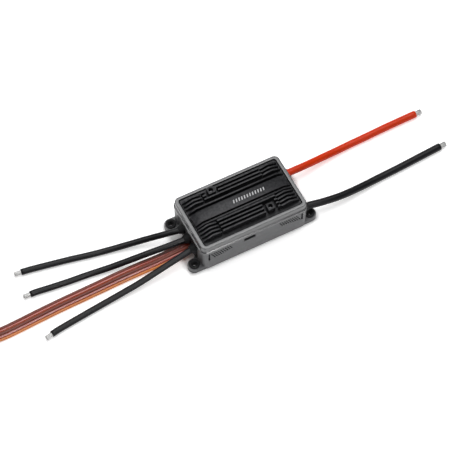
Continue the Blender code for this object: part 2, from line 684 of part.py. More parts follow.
def make_power_leads(mats, parts):
    for i, route in enumerate(OUTPUT_ROUTES, 1):
        line = smooth_line(route, 2.5 * 2 * OUTPUT_RADIUS, OUTPUT_RADIUS)
        tube(f"motor_lead_{i}", line, OUTPUT_RADIUS, mats["lead_black"], parts)
        make_tip(f"motor_lead_tip_{i}", line, 0.95, mats["tinned_copper"], parts)
    for name, route, mat in (("battery_lead_red", RED_ROUTE, "lead_red"),
                             ("battery_lead_black", BLACK_ROUTE, "lead_black")):
        line = smooth_line(route, 2.5 * 2 * INPUT_RADIUS, INPUT_RADIUS)
        tube(name, line, INPUT_RADIUS, mats[mat], parts)
        make_tip(name.replace("lead", "lead_tip"), line, 1.15, mats["tinned_copper"], parts)


def make_signal_leads(mats, parts):
    """Two flat three-core leads that lie as a pair, then stand on edge to meet the coil."""
    for name, (across, up, tilt) in RIBBON_PLACES.items():
        end_x, end_y = RIBBON_ENDS[name]
        stand = RIBBON_WIDTH / 2 + COIL_BOTTOM
        route = [(x, y + across, z + up) for x, y, z in RIBBON_ROUTE]
        route += [((route[-1][0] + end_x) / 2, (route[-1][1] + end_y) / 2, (up + stand) / 2),
                  (end_x, end_y, stand)]
        line = smooth_line(route, 2.4 * 2 * CORE)
        turn_from = RIBBON_ROUTE[-1][0]
        tilts = []
        for point in line:
            raised = min(1.0, max(0.0, (turn_from - point.x) / (turn_from - end_x - 2.0)))
            tilts.append((math.radians(90) - tilt) * (1.0 - raised))
        tube(name, line, CORE / 2, mats["servo_lead"], parts, half_flat=CORE, tilts=tilts)


def make_coil(mats, parts):
    """The put-away length of both signal leads, wound on edge, with a tie and two plugs."""
    x, y = COIL_CENTRE
    low, high = COIL_BOTTOM, COIL_BOTTOM + RIBBON_WIDTH
    inner, outer = COIL_RADII
    coil = turned("signal_lead_coil", ((inner, high), (outer, high), (outer, low), (inner, low)),
                  x, y, mats["servo_lead"], parts, steps=48)
    tail_x, tail_y = x + PLUG_OFFSET[0], y + PLUG_OFFSET[1] - PLUG_SIZE[1] / 2 - GAP
    tail_half = RIBBON_WIDTH / 2
    combine(coil, "UNION", [
        block("tails", (tail_x - tail_half, tail_y - 10.0, low),
              (tail_x + tail_half, tail_y, high + 0.5), None, parts)])
    reach = TIE_THICK + GAP
    tie = block("coil_tie", (x - TIE_WIDTH / 2, y + inner - reach, 0.0),
                (x + TIE_WIDTH / 2, y + outer + reach, high + reach), mats["tie_plastic"], parts)
    window = block("tie_window", (x - TIE_WIDTH, y + inner - GAP - 0.4, low - GAP),
                   (x + TIE_WIDTH, y + outer + GAP, high + GAP), None, parts)
    combine(tie, "DIFFERENCE", [window])
    for level, name in enumerate(("throttle_plug", "bec_plug")):
        base = level * (PLUG_SIZE[2] + GAP)
        px, py = x + PLUG_OFFSET[0], y + PLUG_OFFSET[1]
        block(name, (px - PLUG_SIZE[0] / 2, py - PLUG_SIZE[1] / 2, base),
              (px + PLUG_SIZE[0] / 2, py + PLUG_SIZE[1] / 2, base + PLUG_SIZE[2]),
              mats["plug_plastic"], parts)


def main():
    clear_scene()
    parts = collection("electronic_speed_controller")
    cutters = collection("cutters")
    mats = make_materials()
    make_tray(mats, parts, cutters)
    make_bezel(mats, parts, cutters)
    make_heat_sink(mats, parts, cutters)
    make_electronics(mats, parts, cutters)
    make_screws(mats, parts)
    make_grommets(mats, parts)
    make_seals(mats, parts, cutters)
    make_power_leads(mats, parts)
    make_signal_leads(mats, parts)
    make_coil(mats, parts)


main()
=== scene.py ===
"""Looks of a brushless motor's speed controller: its case, heat sink, seals, leads and plugs.

Laid out as an add-on and run as a script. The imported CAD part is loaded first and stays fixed, and
each operator makes one piece, or a group of like pieces, round it. Sizes in the tables are in
millimetres, and every mesh is turned into metres as it is made.
"""

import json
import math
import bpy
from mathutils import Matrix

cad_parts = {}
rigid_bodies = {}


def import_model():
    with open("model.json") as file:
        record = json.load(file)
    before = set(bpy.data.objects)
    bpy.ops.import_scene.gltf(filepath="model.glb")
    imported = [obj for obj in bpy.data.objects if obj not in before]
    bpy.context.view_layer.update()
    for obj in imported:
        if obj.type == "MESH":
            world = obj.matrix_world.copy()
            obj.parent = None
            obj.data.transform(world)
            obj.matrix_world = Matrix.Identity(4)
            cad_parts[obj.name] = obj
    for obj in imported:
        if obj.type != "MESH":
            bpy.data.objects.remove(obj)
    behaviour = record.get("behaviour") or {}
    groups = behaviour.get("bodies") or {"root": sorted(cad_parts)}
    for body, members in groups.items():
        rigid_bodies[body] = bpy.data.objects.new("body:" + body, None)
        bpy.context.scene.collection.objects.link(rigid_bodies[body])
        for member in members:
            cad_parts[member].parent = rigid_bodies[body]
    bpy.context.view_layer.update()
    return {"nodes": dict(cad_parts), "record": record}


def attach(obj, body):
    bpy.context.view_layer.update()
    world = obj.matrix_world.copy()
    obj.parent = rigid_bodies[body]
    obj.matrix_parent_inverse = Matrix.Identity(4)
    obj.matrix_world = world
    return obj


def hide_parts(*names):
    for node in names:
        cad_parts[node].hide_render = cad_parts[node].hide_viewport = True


bl_info = {
    "name": "Electronic speed controller",
    "version": (1, 0, 0),
    "blender": (4, 5, 0),
    "location": "View3D > Sidebar > Speed Controller",
    "description": "Builds the visible pieces of a brushless motor speed controller",
    "category": "Object",
}

import bmesh
import bpy
from bpy.props import FloatProperty, FloatVectorProperty, IntProperty, PointerProperty
from mathutils import Matrix, Vector

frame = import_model()
BODY = "root"
MM = 0.001
FLOOR_Z = -0.00015

# Camera: the point it looks at, its bearing and height in degrees, and its distance in metres.
TARGET = (-6.5, 0.85, 0.0)
BEARING, RISE, DISTANCE = -27.3, 59.1, 0.85

# Lamps: place and size in metres, share of the key light's power, and whether it adds soft light.
LAMPS = (
    ("key_light", (0.1, 0.17, 1.2), 1.12, 1.0, True),
    ("back_fill", (0.3, 1.0, 0.8), 0.6, 0.12, True),
    ("edge_light", (0.05, -0.8, 0.75), 0.35, 0.3, False),
    ("side_light", (-0.85, 0.5, 0.48), 0.3, 0.06, False),
)

# Half size of the floor under the case that gives no glow, a painted shadow that keeps the ear bores
# and the floor beside the case dark, and the width of its soft edge.
PAINTED_SHADOW_HALF = (0.0302, 0.0135, 0.0)
PAINTED_SHADOW_EDGE = 0.0025

# Tray and bezel.
TRAY_HALF = (25.45, 14.55)
TRAY_TOP = 12.3
TRAY_WALL = 1.3
TRAY_FLOOR = 1.5
TRAY_CORNER = 2.6
POST_TOP = 3.9
NOTCH_FOOT = 3.15
SEAL_GAP = 0.05
BEZEL_BOTTOM = 12.36
BEZEL_TOP = 16.5
LIP_HALF = (25.7, 14.8)
LIP_TOP = 13.15
RIM_HALF = (23.6, 12.9)
BEZEL_WALL_HALF = (25.22, 14.32)
LEDGE_HALF = (22.6, 11.9)
LEDGE_TOP = 14.4
TONGUE_HALF = (23.85, 12.95)
TONGUE_BOTTOM = 11.4

# Ears, their bores and their grommets.
EAR_CENTRE = (28.0, 11.25)
EAR_RADIUS = 2.9
EAR_HEIGHT = 2.5
EAR_BORE = 2.0
EAR_FILLET = 1.3
GROMMETS = {"back_left": (-1, 1), "front_left": (-1, -1), "back_right": (1, 1),
            "front_right": (1, -1)}

# Details of the tray's long faces.
WINDOW = (-2.9, 10.4, 5.2, 1.8)
END_SLOT_X = 22.4
END_SLOT_SPAN = (6.4, 11.4)
END_SLOT_HALF = 0.42
GROOVE_DEPTH = 0.8
GROOVE_WIDTH = 0.45
GROOVE_PITCH = 1.05
GROOVE_COUNT = 9
GROOVE_START = 20.5
GROOVE_TOP = 11.5
GROOVE_LENGTH = 4.8
GROOVE_FADE = 0.2
GROOVE_LEAN = math.radians(-25)

# Heat sink.
SINK_TOP = 19.0
PLATE_TOP = 16.0
FIN_FOOT = 15.7
TOE = 17.3
PLATE_HALF = (23.3, 12.6)
SPIGOT_HALF = (22.3, 11.6)
SINK_UNDERSIDE = 13.0
LAND_HALF_WIDTH = 2.73
FLAT_HALF_LENGTH = 19.45
SLOPE_END = 22.8
FIN_WIDTH = 0.78
MAIN_HALF = 13.8
SEGMENT_START = 14.2
SEGMENT_KINK = 18.3
SEGMENT_DIP = 0.85
BOSSES = ((-9.2, 9.8), (9.7, -9.0))
BOSS_HALF = 1.7
BOSS_CLEARING = 2.9
BOSS_BORE = 1.0
BOSS_STEP = 17.6
SCREW_BORE = 1.3
LONG_FINS = (4.3, -3.9)
WEB_TOP = 18.5

# Each bank of short fins: first row, pitch and number of rows from the middle outwards.
BACK_BANK = (6.8, 1.75, 3)
FRONT_BANK = (-5.1, -1.8, 4)

# Leads and seals.
OUTPUT_RADIUS = 1.4
INPUT_RADIUS = 1.65
OUTPUT_TIP = 0.95
INPUT_TIP = 1.15
TIP_LENGTH = 3.2
TIP_BURIED = 0.6
LEAD_SIDES = 32
CORE_SIDES = 14
OUTPUT_Z = 6.8
INPUT_Z = 6.3
OUTPUT_Y = (4.6, -0.7, -6.3)
INPUT_Y = (9.0, -9.4)
OUTPUT_SEAL_HALF = 9.2
INPUT_SEAL_HALF = 12.2
SEAL_SPAN = (3.2, 12.0)
PORT = ((-5.9, 1.1), (1.8, 4.75))
CORE = 1.25
CORE_SPREAD = 1.16
PAIR_SPREAD = 0.25
FRONT_TILT = math.radians(40)

OUTPUT_ROUTES = (
    ((-20.5, 4.6, 6.8), (-27.0, 4.7, 6.7), (-33.5, 6.2, 5.8), (-40.2, 8.3, 4.2), (-48.4, 10.5, 2.6),
     (-57.0, 12.4, 1.6), (-65.7, 14.1, 1.4), (-74.3, 16.0, 1.4), (-83.0, 17.7, 1.4),
     (-91.6, 19.3, 1.4), (-95.2, 19.8, 1.4)),
    ((-20.5, -0.7, 6.8), (-27.0, -0.7, 6.7), (-35.0, 0.1, 6.1), (-44.0, 1.4, 5.0),
     (-52.5, 2.7, 3.6), (-61.0, 4.1, 2.2), (-70.0, 5.5, 1.45), (-78.9, 6.3, 1.4), (-87.8, 7.3, 1.4),
     (-93.1, 8.0, 1.4), (-96.2, 8.2, 1.4)),
    ((-20.5, -6.3, 6.8), (-27.0, -6.4, 6.6), (-35.0, -7.3, 5.7), (-43.5, -8.2, 4.6),
     (-52.5, -9.1, 3.3), (-61.2, -9.6, 2.2), (-71.9, -10.4, 1.45), (-82.1, -11.5, 1.4),
     (-92.3, -12.7, 1.4), (-96.0, -13.4, 1.4)),
)
RED_ROUTE = (
    (21.5, 9.0, 6.3), (27.5, 9.1, 6.3), (34.8, 9.4, 5.7), (40.0, 10.0, 4.7), (45.3, 10.8, 3.5),
    (53.2, 11.7, 2.2), (61.2, 12.3, 1.65), (69.0, 12.5, 1.65), (76.9, 12.8, 1.65),
    (84.7, 13.0, 1.65), (92.4, 13.1, 1.65), (95.2, 13.1, 1.65),
)
BLACK_ROUTE = (
    (21.5, -9.4, 6.3), (27.5, -9.6, 6.3), (36.0, -10.6, 5.5), (44.5, -10.8, 4.3),
    (53.8, -10.0, 2.8), (64.3, -9.0, 1.8), (74.9, -8.4, 1.65), (85.5, -7.7, 1.65),
    (93.0, -7.2, 1.65), (96.2, -7.0, 1.65),
)
PAIR_ROUTE = (
    (-18.5, -2.4, 1.75), (-27.0, -2.4, 1.75), (-33.0, -2.4, 1.6), (-38.0, -2.4, 1.3),
    (-43.0, -2.3, 1.0), (-49.5, -1.9, 0.5), (-58.9, -1.7, 0.1), (-68.5, -1.9, 0.0),
    (-77.9, -2.1, 0.0), (-87.3, -2.3, 0.0), (-96.8, -2.7, 0.0), (-106.3, -3.2, 0.0),
    (-114.0, -3.4, 0.0),
)
# Each flat lead: across and above the pair's route, its tilt, where it stands on edge beside the
# coil, its first radius in the coil, the radius of its tail's bend and its plug's middle height.
FLAT_LEADS = {
    "bec": (1.17, 0.625, 0.0, (-127.5, -2.7), 20.4, 7.8, 4.2),
    "throttle": (-1.45, 1.4, FRONT_TILT, (-127.5, -4.9), 22.0, 9.4, 1.3),
}
COIL_CENTRE = (-140.0, 17.5)
COIL_CLOSING = 3.2
COIL_Z = 2.35
PLUG_CENTRE = (-148.6, 18.4)
PLUG_SIZE = (7.6, 14.0, 2.6)
PIN_PITCH = 2.54
COIL_STEPS = 28
TIE_WIDTH = 5.0


# ---- settings

def colour_property(name, description, default):
    return FloatVectorProperty(name=name, description=description, subtype="COLOR", size=3,
                               min=0.0, max=1.0, default=default)


def length_property(name, description, default):
    return FloatProperty(name=name, description=description, default=default * MM,
                         subtype="DISTANCE", unit="LENGTH", precision=5, min=0.0)


class CaseSettings(bpy.types.PropertyGroup):
    """Finish and edges of the moulded tray and bezel."""
    colour: colour_property("Tray colour", "Colour of the tray's moulded plastic",
                            (0.066, 0.067, 0.071))
    # The bezel is the tray's plastic, its colour lightened as painted light to make up for the
    # shadowed floor that its smoother faces reflect.
    bezel_lightened_colour: colour_property("Bezel colour", "Colour of the bezel's smoother plastic",
                                  (0.098, 0.099, 0.103))
    edge: length_property("Edge rounding", "Rounding of the case's outer edges", 0.45)
    rim_edge: length_property("Rim rounding", "Rounding of the bezel's upper outer edge", 0.6)


class SinkSettings(bpy.types.PropertyGroup):
    """Finish and edges of the heat sink."""
    colour: colour_property("Anodising colour", "Colour of the anodised aluminium",
                            (0.0075, 0.0077, 0.0095))
    print_colour: colour_property("Print colour", "Colour of the tick marks on the flat land",
                                  (0.5, 0.5, 0.51))
    edge: length_property("Fin edge", "Rounding of the fins' edges", 0.12)
    ticks: IntProperty(name="Ticks", description="Number of tick marks on the flat land",
                       default=12, min=1, max=30)


class LeadSettings(bpy.types.PropertyGroup):
    """Colours of the leads' insulation."""
    black: colour_property("Black", "Black silicone insulation", (0.007, 0.007, 0.0085))
    red: colour_property("Red", "Red silicone insulation", (0.6, 0.034, 0.003))
    core_brown: colour_property("Brown core", "Brown core of the signal leads",
                                (0.17, 0.034, 0.018))
    core_red: colour_property("Red core", "Red core of the signal leads", (0.34, 0.04, 0.019))
    core_orange: colour_property("Orange core", "Orange core of the signal leads",
                                 (0.63, 0.185, 0.03))
    strands: IntProperty(name="Strands", description="Strands seen round each tinned end",
                         default=15, min=6, max=40)


class StageSettings(bpy.types.PropertyGroup):
    """Floor and light round the object."""
    floor: colour_property("Floor", "Colour of the floor", (0.9, 0.9, 0.9))
    key: FloatProperty(name="Key light", description="Power of the soft light behind the object",
                       default=14.5, min=0.0, subtype="POWER", unit="POWER")
    ambient: FloatProperty(name="Ambient", description="Brightness of the surrounding light",
                           default=0.14, min=0.0, subtype="FACTOR")
    glow: FloatProperty(name="Floor glow", description="Light that the translucent floor gives",
                        default=0.5, min=0.0, subtype="FACTOR")


# ---- mesh helpers

def add_object(name, data):
    obj = bpy.data.objects.new(name, data)
    bpy.context.scene.collection.objects.link(obj)
    return obj


def to_object(name, mesh, finish, slot=None, replaces=(), angle=35.0):
    """Put a finished mesh in the scene, at the origin; given a slot, it rides on the body."""
    mesh.name = name
    if finish is not None:
        mesh.materials.clear()
        mesh.materials.append(finish)
    for polygon in mesh.polygons:
        polygon.use_smooth = True
    mesh.set_sharp_from_angle(angle=math.radians(angle))
    obj = add_object(name, mesh)
    if slot:
        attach(obj, BODY)
    if replaces:
        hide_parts(*replaces)
    return obj


def mesh_of(bm, weld=1e-7):
    """A closed mesh from a bmesh: welded, facing outwards."""
    bmesh.ops.remove_doubles(bm, verts=bm.verts, dist=weld)
    bmesh.ops.recalc_face_normals(bm, faces=bm.faces)
    mesh = bpy.data.meshes.new("piece")
    bm.to_mesh(mesh)
    bm.free()
    return mesh


def joined(meshes):
    """One mesh of several, facing outwards."""
    bm = bmesh.new()
    for mesh in meshes:
        bm.from_mesh(mesh)
    return mesh_of(bm, weld=1e-9)


def evaluated(obj):
    """The plain mesh of an object's live modifiers. The object itself is removed."""
    depsgraph = bpy.context.evaluated_depsgraph_get()
    mesh = bpy.data.meshes.new_from_object(obj.evaluated_get(depsgraph))
    bpy.data.objects.remove(obj, do_unlink=True)
    return mesh


def carve(mesh, operation, tools):
    """Join tool meshes to a solid or cut them from it."""
    target = add_object("solid", mesh)
    group = bpy.data.collections.new("tools")
    bpy.context.scene.collection.children.link(group)
    for tool in tools:
        group.objects.link(bpy.data.objects.new("tool", tool))
    modifier = target.modifiers.new("carve", "BOOLEAN")
    modifier.operation = operation
    modifier.solver = "EXACT"
    modifier.operand_type = "COLLECTION"
    modifier.collection = group
    result = evaluated(target)
    for tool in list(group.objects):
        bpy.data.objects.remove(tool, do_unlink=True)
    bpy.data.collections.remove(group)
    bm = bmesh.new()
    bm.from_mesh(result)
    bmesh.ops.dissolve_limit(bm, angle_limit=math.radians(0.3), verts=bm.verts, edges=bm.edges)
    return mesh_of(bm)


def arc(centre, radius, start, sweep, steps):
    """Points along an arc, its angles in degrees."""
    angles = [math.radians(start + sweep * i / steps) for i in range(steps + 1)]
    return [(centre[0] + radius * math.cos(a), centre[1] + radius * math.sin(a)) for a in angles]


def rounded_outline(half, corner, per_corner=8):
    """Points round a rectangle with rounded corners, anticlockwise from the +X side."""
    points = []
    for quarter, (sx, sy) in enumerate(((1, 1), (-1, 1), (-1, -1), (1, -1))):
        points += arc((sx * (half[0] - corner), sy * (half[1] - corner)), corner, 90 * quarter,
                      90, per_corner)
    return points


def eased(profile, radii, steps=3):
    """A closed polyline with its corners rounded. Points are tuples of two or four numbers."""
    points, out = [Vector(p) for p in profile], []
    for i, (point, radius) in enumerate(zip(points, radii)):
        if not radius:
            out.append(point)
            continue
        a, b = (point.lerp(other, min(radius / (other - point).length, 0.45))
                for other in (points[i - 1], points[(i + 1) % len(points)]))
        for k in range(steps + 1):
            t = k / steps
            out.append(a.lerp(point, t).lerp(point.lerp(b, t), t))
    return out


def lofted(rings, closed=False):
    """A solid through rings of points in millimetres, closed on itself or capped at both ends."""
    bm = bmesh.new()
    loops = [[bm.verts.new(Vector(p) * MM) for p in ring] for ring in rings]
    pairs = list(zip(loops, loops[1:]))
    if closed:
        pairs.append((loops[-1], loops[0]))
    for low, high in pairs:
        for i in range(len(low)):
            j = (i + 1) % len(low)
            bm.faces.new((low[i], low[j], high[j], high[i]))
    if not closed:
        bm.faces.new(list(reversed(loops[0])))
        bm.faces.new(loops[-1])
    return mesh_of(bm)


def slab_rings(profile, per_corner=8):
    """Rings of rounded rectangles, from (half length, half width, corner, z) points."""
    return [[(x, y, z) for x, y in rounded_outline((hx, hy), corner, per_corner)]
            for hx, hy, corner, z in profile]


def lathed(profile, centre=(0.0, 0.0), steps=48):
    """A solid turned about an upright axis, from (radius, z) points down its outside."""
    rings = [[(x, y, z) for x, y in arc(centre, radius, 0, 360, steps)[:-1]]
             for radius, z in profile]
    return lofted(rings, closed=bool(profile[0][0]))


def prism(outline, low, high, edge=0.0, axis="Z", bottom_too=False):
    """An outline given a thickness, its upper edge rounded. Along Y the outline is in XZ."""
    bm = bmesh.new()
    base = [bm.verts.new((x * MM, y * MM, low * MM)) for x, y in outline]
    top = [bm.verts.new((x * MM, y * MM, high * MM)) for x, y in outline]
    count = len(outline)
    bm.faces.new(list(reversed(base)))
    bm.faces.new(top)
    for i in range(count):
        j = (i + 1) % count
        bm.faces.new((base[i], base[j], top[j], top[i]))
    if edge:
        heights = (low * MM, high * MM) if bottom_too else (high * MM,)
        rim = [e for e in bm.edges
               if any(all(abs(v.co.z - z) < 1e-8 for v in e.verts) for z in heights)]
        bmesh.ops.bevel(bm, geom=rim, offset=edge * MM, segments=3, profile=0.5,
                        affect="EDGES", clamp_overlap=True)
    if axis == "Y":
        bmesh.ops.rotate(bm, verts=bm.verts, matrix=Matrix.Rotation(math.radians(90), 3, "X"))
    return mesh_of(bm)


def box(low, high, edge=0.0, segments=2):
    """A block between two corners in millimetres with all its edges rounded."""
    bm = bmesh.new()
    bmesh.ops.create_cube(bm, size=1.0)
    size = Vector(high) - Vector(low)
    bmesh.ops.scale(bm, vec=size * MM, verts=bm.verts)
    bmesh.ops.translate(bm, vec=(Vector(high) + Vector(low)) / 2 * MM, verts=bm.verts)
    if edge:
        bmesh.ops.bevel(bm, geom=bm.edges[:], offset=edge * MM, segments=segments, profile=0.5,
                        affect="EDGES", clamp_overlap=True)
    return mesh_of(bm)


def block(middle, half, edge=0.0, segments=2):
    """A box from its middle and half sizes."""
    return box(Vector(middle) - Vector(half), Vector(middle) + Vector(half), edge, segments)


def rod(x, y, low, high, radius, steps=32):
    return lathed(((0.0, high), (radius, high), (radius, low), (0.0, low)), (x, y), steps)


# ---- lines and tubes

def smooth_line(points, spacing):
    """Evenly spaced points on a smooth curve through a route. A fourth value is carried along."""
    route = [Vector(p) for p in points]
    knots = [2 * route[0] - route[1], *route, 2 * route[-1] - route[-2]]
    fine = [0.5 * (2 * q + (r - p) * t + (2 * p - 5 * q + 4 * r - s) * t * t
                   + (3 * q - p - 3 * r + s) * t ** 3)
            for p, q, r, s in zip(knots, knots[1:], knots[2:], knots[3:])
            for t in (i / 16 for i in range(16))]
    fine.append(route[-1])
    travelled = [0.0]
    for p, q in zip(fine, fine[1:]):
        travelled.append(travelled[-1] + (q.xyz - p.xyz).length)
    count = max(2, round(travelled[-1] / spacing))
    line, k = [], 0
    for i in range(count + 1):
        wanted = travelled[-1] * i / count
        while k < len(fine) - 2 and travelled[k + 1] < wanted:
            k += 1
        share = (wanted - travelled[k]) / max(1e-9, travelled[k + 1] - travelled[k])
        line.append(fine[k].lerp(fine[k + 1], share))
    return line


def headings(line):
    """The forward, sideways and upward directions at each point of a line."""
    frames = []
    for i in range(len(line)):
        a, b = line[max(0, i - 1)], line[min(len(line) - 1, i + 1)]
        forward = (Vector(b[:3]) - Vector(a[:3])).normalized()
        side = forward.cross(Vector((0, 0, 1))).normalized()
        frames.append((forward, side, side.cross(forward)))
    return frames


def tube_mesh(tubes, sides):
    """One mesh of capped round tubes, each (centres, frames, radii, material index), with flow
    coordinates: round, and along in metres."""
    verts, faces, flow, indices = [], [], [], []

    def corner(first, along, i, j):
        flow.append((j / sides, along[i] * MM))
        return first + i * sides + j % sides

    for centres, frames, radii, index in tubes:
        first, along, last = len(verts), [0.0], len(centres) - 1
        for p, q in zip(centres, centres[1:]):
            along.append(along[-1] + (q - p).length)
        for centre, (_, side, up), radius in zip(centres, frames, radii):
            for a, b in arc((0.0, 0.0), radius, -90, 360, sides)[:-1]:
                verts.append((centre + a * side + b * up) * MM)
        faces += [[corner(first, along, i + a, j + b) for a, b in ((0, 0), (0, 1), (1, 1), (1, 0))]
                  for i in range(last) for j in range(sides)]
        faces += [[corner(first, along, i, j) for j in range(sides)] for i in (0, last)]
        indices += [index] * (len(faces) - len(indices))
    mesh = bpy.data.meshes.new("tubes")
    mesh.from_pydata(verts, [], faces)
    layer = mesh.uv_layers.new(name="flow")
    for item, place in zip(layer.data, flow):
        item.uv = place
    mesh.polygons.foreach_set("material_index", indices)
    return joined([mesh])


# ---- geometry node trees

TREES = {}
LINE_INPUTS = (("Count", "Int", 3), ("Start", "Vector", (0, 0, 0)),
               ("Step", "Vector", (0, 0.001, 0)))


def new_tree(name, kind, inputs, outputs):
    """A node tree with named sockets, the values it is given and the ones it has to give."""
    tree = bpy.data.node_groups.new(name, kind)
    for label, socket, value in inputs:
        item = tree.interface.new_socket(label, in_out="INPUT", socket_type=f"NodeSocket{socket}")
        if value is not None:
            item.default_value = value
    for label, socket in outputs:
        tree.interface.new_socket(label, in_out="OUTPUT", socket_type=f"NodeSocket{socket}")
    return tree, tree.nodes.new("NodeGroupInput").outputs, tree.nodes.new("NodeGroupOutput")


def fill(tree, node, values):
    """Set or link a node's inputs, given by socket name or number."""
    for key, value in values.items():
        if isinstance(value, bpy.types.NodeSocket):
            tree.links.new(value, node.inputs[key])
        else:
            node.inputs[key].default_value = value
    return node


def add_node(tree, kind, values=None, **settings):
    node = tree.nodes.new(kind)
    for key, value in settings.items():
        setattr(node, key, value)
    return fill(tree, node, values or {})


def math_node(tree, operation, a, b):
    return add_node(tree, "ShaderNodeMath", {0: a, 1: b}, operation=operation).outputs[0]


def vector_of(tree, **parts):
    return add_node(tree, "ShaderNodeCombineXYZ", parts).outputs[0]


def line_points(tree, given):
    """Places in a straight row: fins, tick marks, plug contacts."""
    line = add_node(tree, "GeometryNodeMeshLine", {
        "Count": given["Count"], "Start Location": given["Start"], "Offset": given["Step"]})
    return {"Points": line.outputs["Mesh"]}


def groove_points(tree, given):
    """Places of leaning cutters that grow shorter: the grooves of the tray's long faces."""
    index = add_node(tree, "GeometryNodeInputIndex").outputs[0]
    length = math_node(tree, "SUBTRACT", given["Length"],
                       math_node(tree, "MULTIPLY", index, given["Fade"]))
    return {**line_points(tree, given), "Rotation": vector_of(tree, Y=given["Lean"]),
            "Scale": vector_of(tree, X=1.0, Y=1.0, Z=length)}


def strand_points(tree, given):
    """Places of twisted strands of slightly uneven length, in a ring round a tinned end."""
    ring = add_node(tree, "GeometryNodeMeshCircle", {
        "Vertices": given["Count"], "Radius": given["Radius"]})
    index = add_node(tree, "GeometryNodeInputIndex").outputs[0]
    angle = math_node(tree, "MULTIPLY", math_node(tree, "DIVIDE", index, given["Count"]),
                      2 * math.pi)
    uneven = add_node(tree, "FunctionNodeRandomValue", {
        "Min": 0.9, "Max": 1.0, "Seed": given["Seed"]}, data_type="FLOAT")
    length = next(s for s in uneven.outputs if s.enabled)
    return {"Points": ring.outputs["Mesh"], "Rotation": vector_of(tree, X=given["Lay"], Z=angle),
            "Scale": vector_of(tree, X=1.0, Y=1.0, Z=length)}


LAYOUTS = {
    line_points: ("even_row", LINE_INPUTS),
    groove_points: ("fading_grooves", (*LINE_INPUTS, ("Length", "Float", GROOVE_LENGTH),
                                       ("Fade", "Float", GROOVE_FADE),
                                       ("Lean", "Float", GROOVE_LEAN))),
    strand_points: ("strand_ring", (("Count", "Int", 15), ("Radius", "Float", 0.001),
                                    ("Lay", "Float", 0.2), ("Seed", "Int", 1))),
}


def copies_tree(points):
    """A tree that sets copies of a piece at places, makes them real and gives them a finish."""
    name, inputs = LAYOUTS[points]
    tree, given, end = new_tree(name, "GeometryNodeTree", (
        ("Piece", "Geometry", None), *inputs, ("Finish", "Material", None)),
        (("Copies", "Geometry"),))
    copies = add_node(tree, "GeometryNodeInstanceOnPoints", {
        "Instance": given["Piece"], **points(tree, given)})
    real = add_node(tree, "GeometryNodeRealizeInstances", {"Geometry": copies.outputs[0]})
    done = add_node(tree, "GeometryNodeSetMaterial", {
        "Geometry": real.outputs[0], "Material": given["Finish"]})
    fill(tree, end, {"Copies": done.outputs[0]})
    return tree


def grown(points, mesh, values):
    """The plain mesh of the copies that a tree makes of one piece."""
    if points not in TREES:
        TREES[points] = copies_tree(points)
    obj = add_object("seed_piece", mesh)
    modifier = obj.modifiers.new("grow", "NODES")
    modifier.node_group = TREES[points]
    names = {item.name: item.identifier for item in TREES[points].interface.items_tree
             if item.in_out == "INPUT"}
    for name, value in values.items():
        modifier[names[name]] = value
    obj.update_tag()
    return evaluated(obj)


def row(mesh, count, start, step, finish):
    """A row of copies, its start and step in millimetres."""
    return grown(line_points, mesh, {"Count": count, "Start": Vector(start) * MM,
                                  "Step": Vector(step) * MM, "Finish": finish})


# ---- shader groups

def object_place(tree, scale=(1, 1, 1)):
    place = add_node(tree, "ShaderNodeTexCoord")
    return mapped(tree, place.outputs["Object"], scale)


def mapped(tree, vector, scale):
    return add_node(tree, "ShaderNodeMapping", {"Vector": vector, "Scale": scale}).outputs[0]


def noise(tree, vector, scale, detail):
    return add_node(tree, "ShaderNodeTexNoise", {
        "Vector": vector, "Scale": scale, "Detail": detail}).outputs["Fac"]


def cells(tree, vector, scale):
    return add_node(tree, "ShaderNodeTexVoronoi", {
        "Vector": vector, "Scale": scale}).outputs["Distance"]


def blend(tree, factor, a, b):
    """A colour between two, by a value that changes over the surface."""
    return add_node(tree, "ShaderNodeMix", {"Factor": factor, 6: a, 7: b},
                    data_type="RGBA").outputs[2]


def spread(tree, value, low, high, from_low=0.3, from_high=0.7):
    return add_node(tree, "ShaderNodeMapRange", {
        "Value": value, "From Min": from_low, "From Max": from_high, "To Min": low,
        "To Max": high}).outputs[0]


def grain_group():
    """Fine surface grain and a slow colour mottle, on object coordinates."""
    tree, given, end = new_tree("surface_grain", "ShaderNodeTree", (
        ("Grain Scale", "Float", 5000.0), ("Mottle Scale", "Float", 120.0)),
        (("Height", "Float"), ("Mottle", "Float")))
    place, scale = object_place(tree), given["Grain Scale"]
    height = math_node(tree, "ADD", noise(tree, place, scale, 3.0),
                       math_node(tree, "MULTIPLY", cells(tree, place, scale), 0.5))
    fill(tree, end, {"Height": height, "Mottle": noise(tree, place, given["Mottle Scale"], 4.0)})
    return tree


def streak_group():
    """Long fine lines: die lines along insulation, tool lines along metal."""
    tree, given, end = new_tree("drawn_streaks", "ShaderNodeTree", (
        ("Vector", "Vector", (0, 0, 0)), ("Across", "Float", 30.0), ("Along", "Float", 60.0)),
        (("Height", "Float"), ("Tone", "Float")))
    size = vector_of(tree, X=given["Across"], Y=given["Along"], Z=given["Across"])
    place = mapped(tree, given["Vector"], size)
    fill(tree, end, {"Height": noise(tree, place, 1.0, 3.0), "Tone": noise(tree, place, 0.22, 2.0)})
    return tree


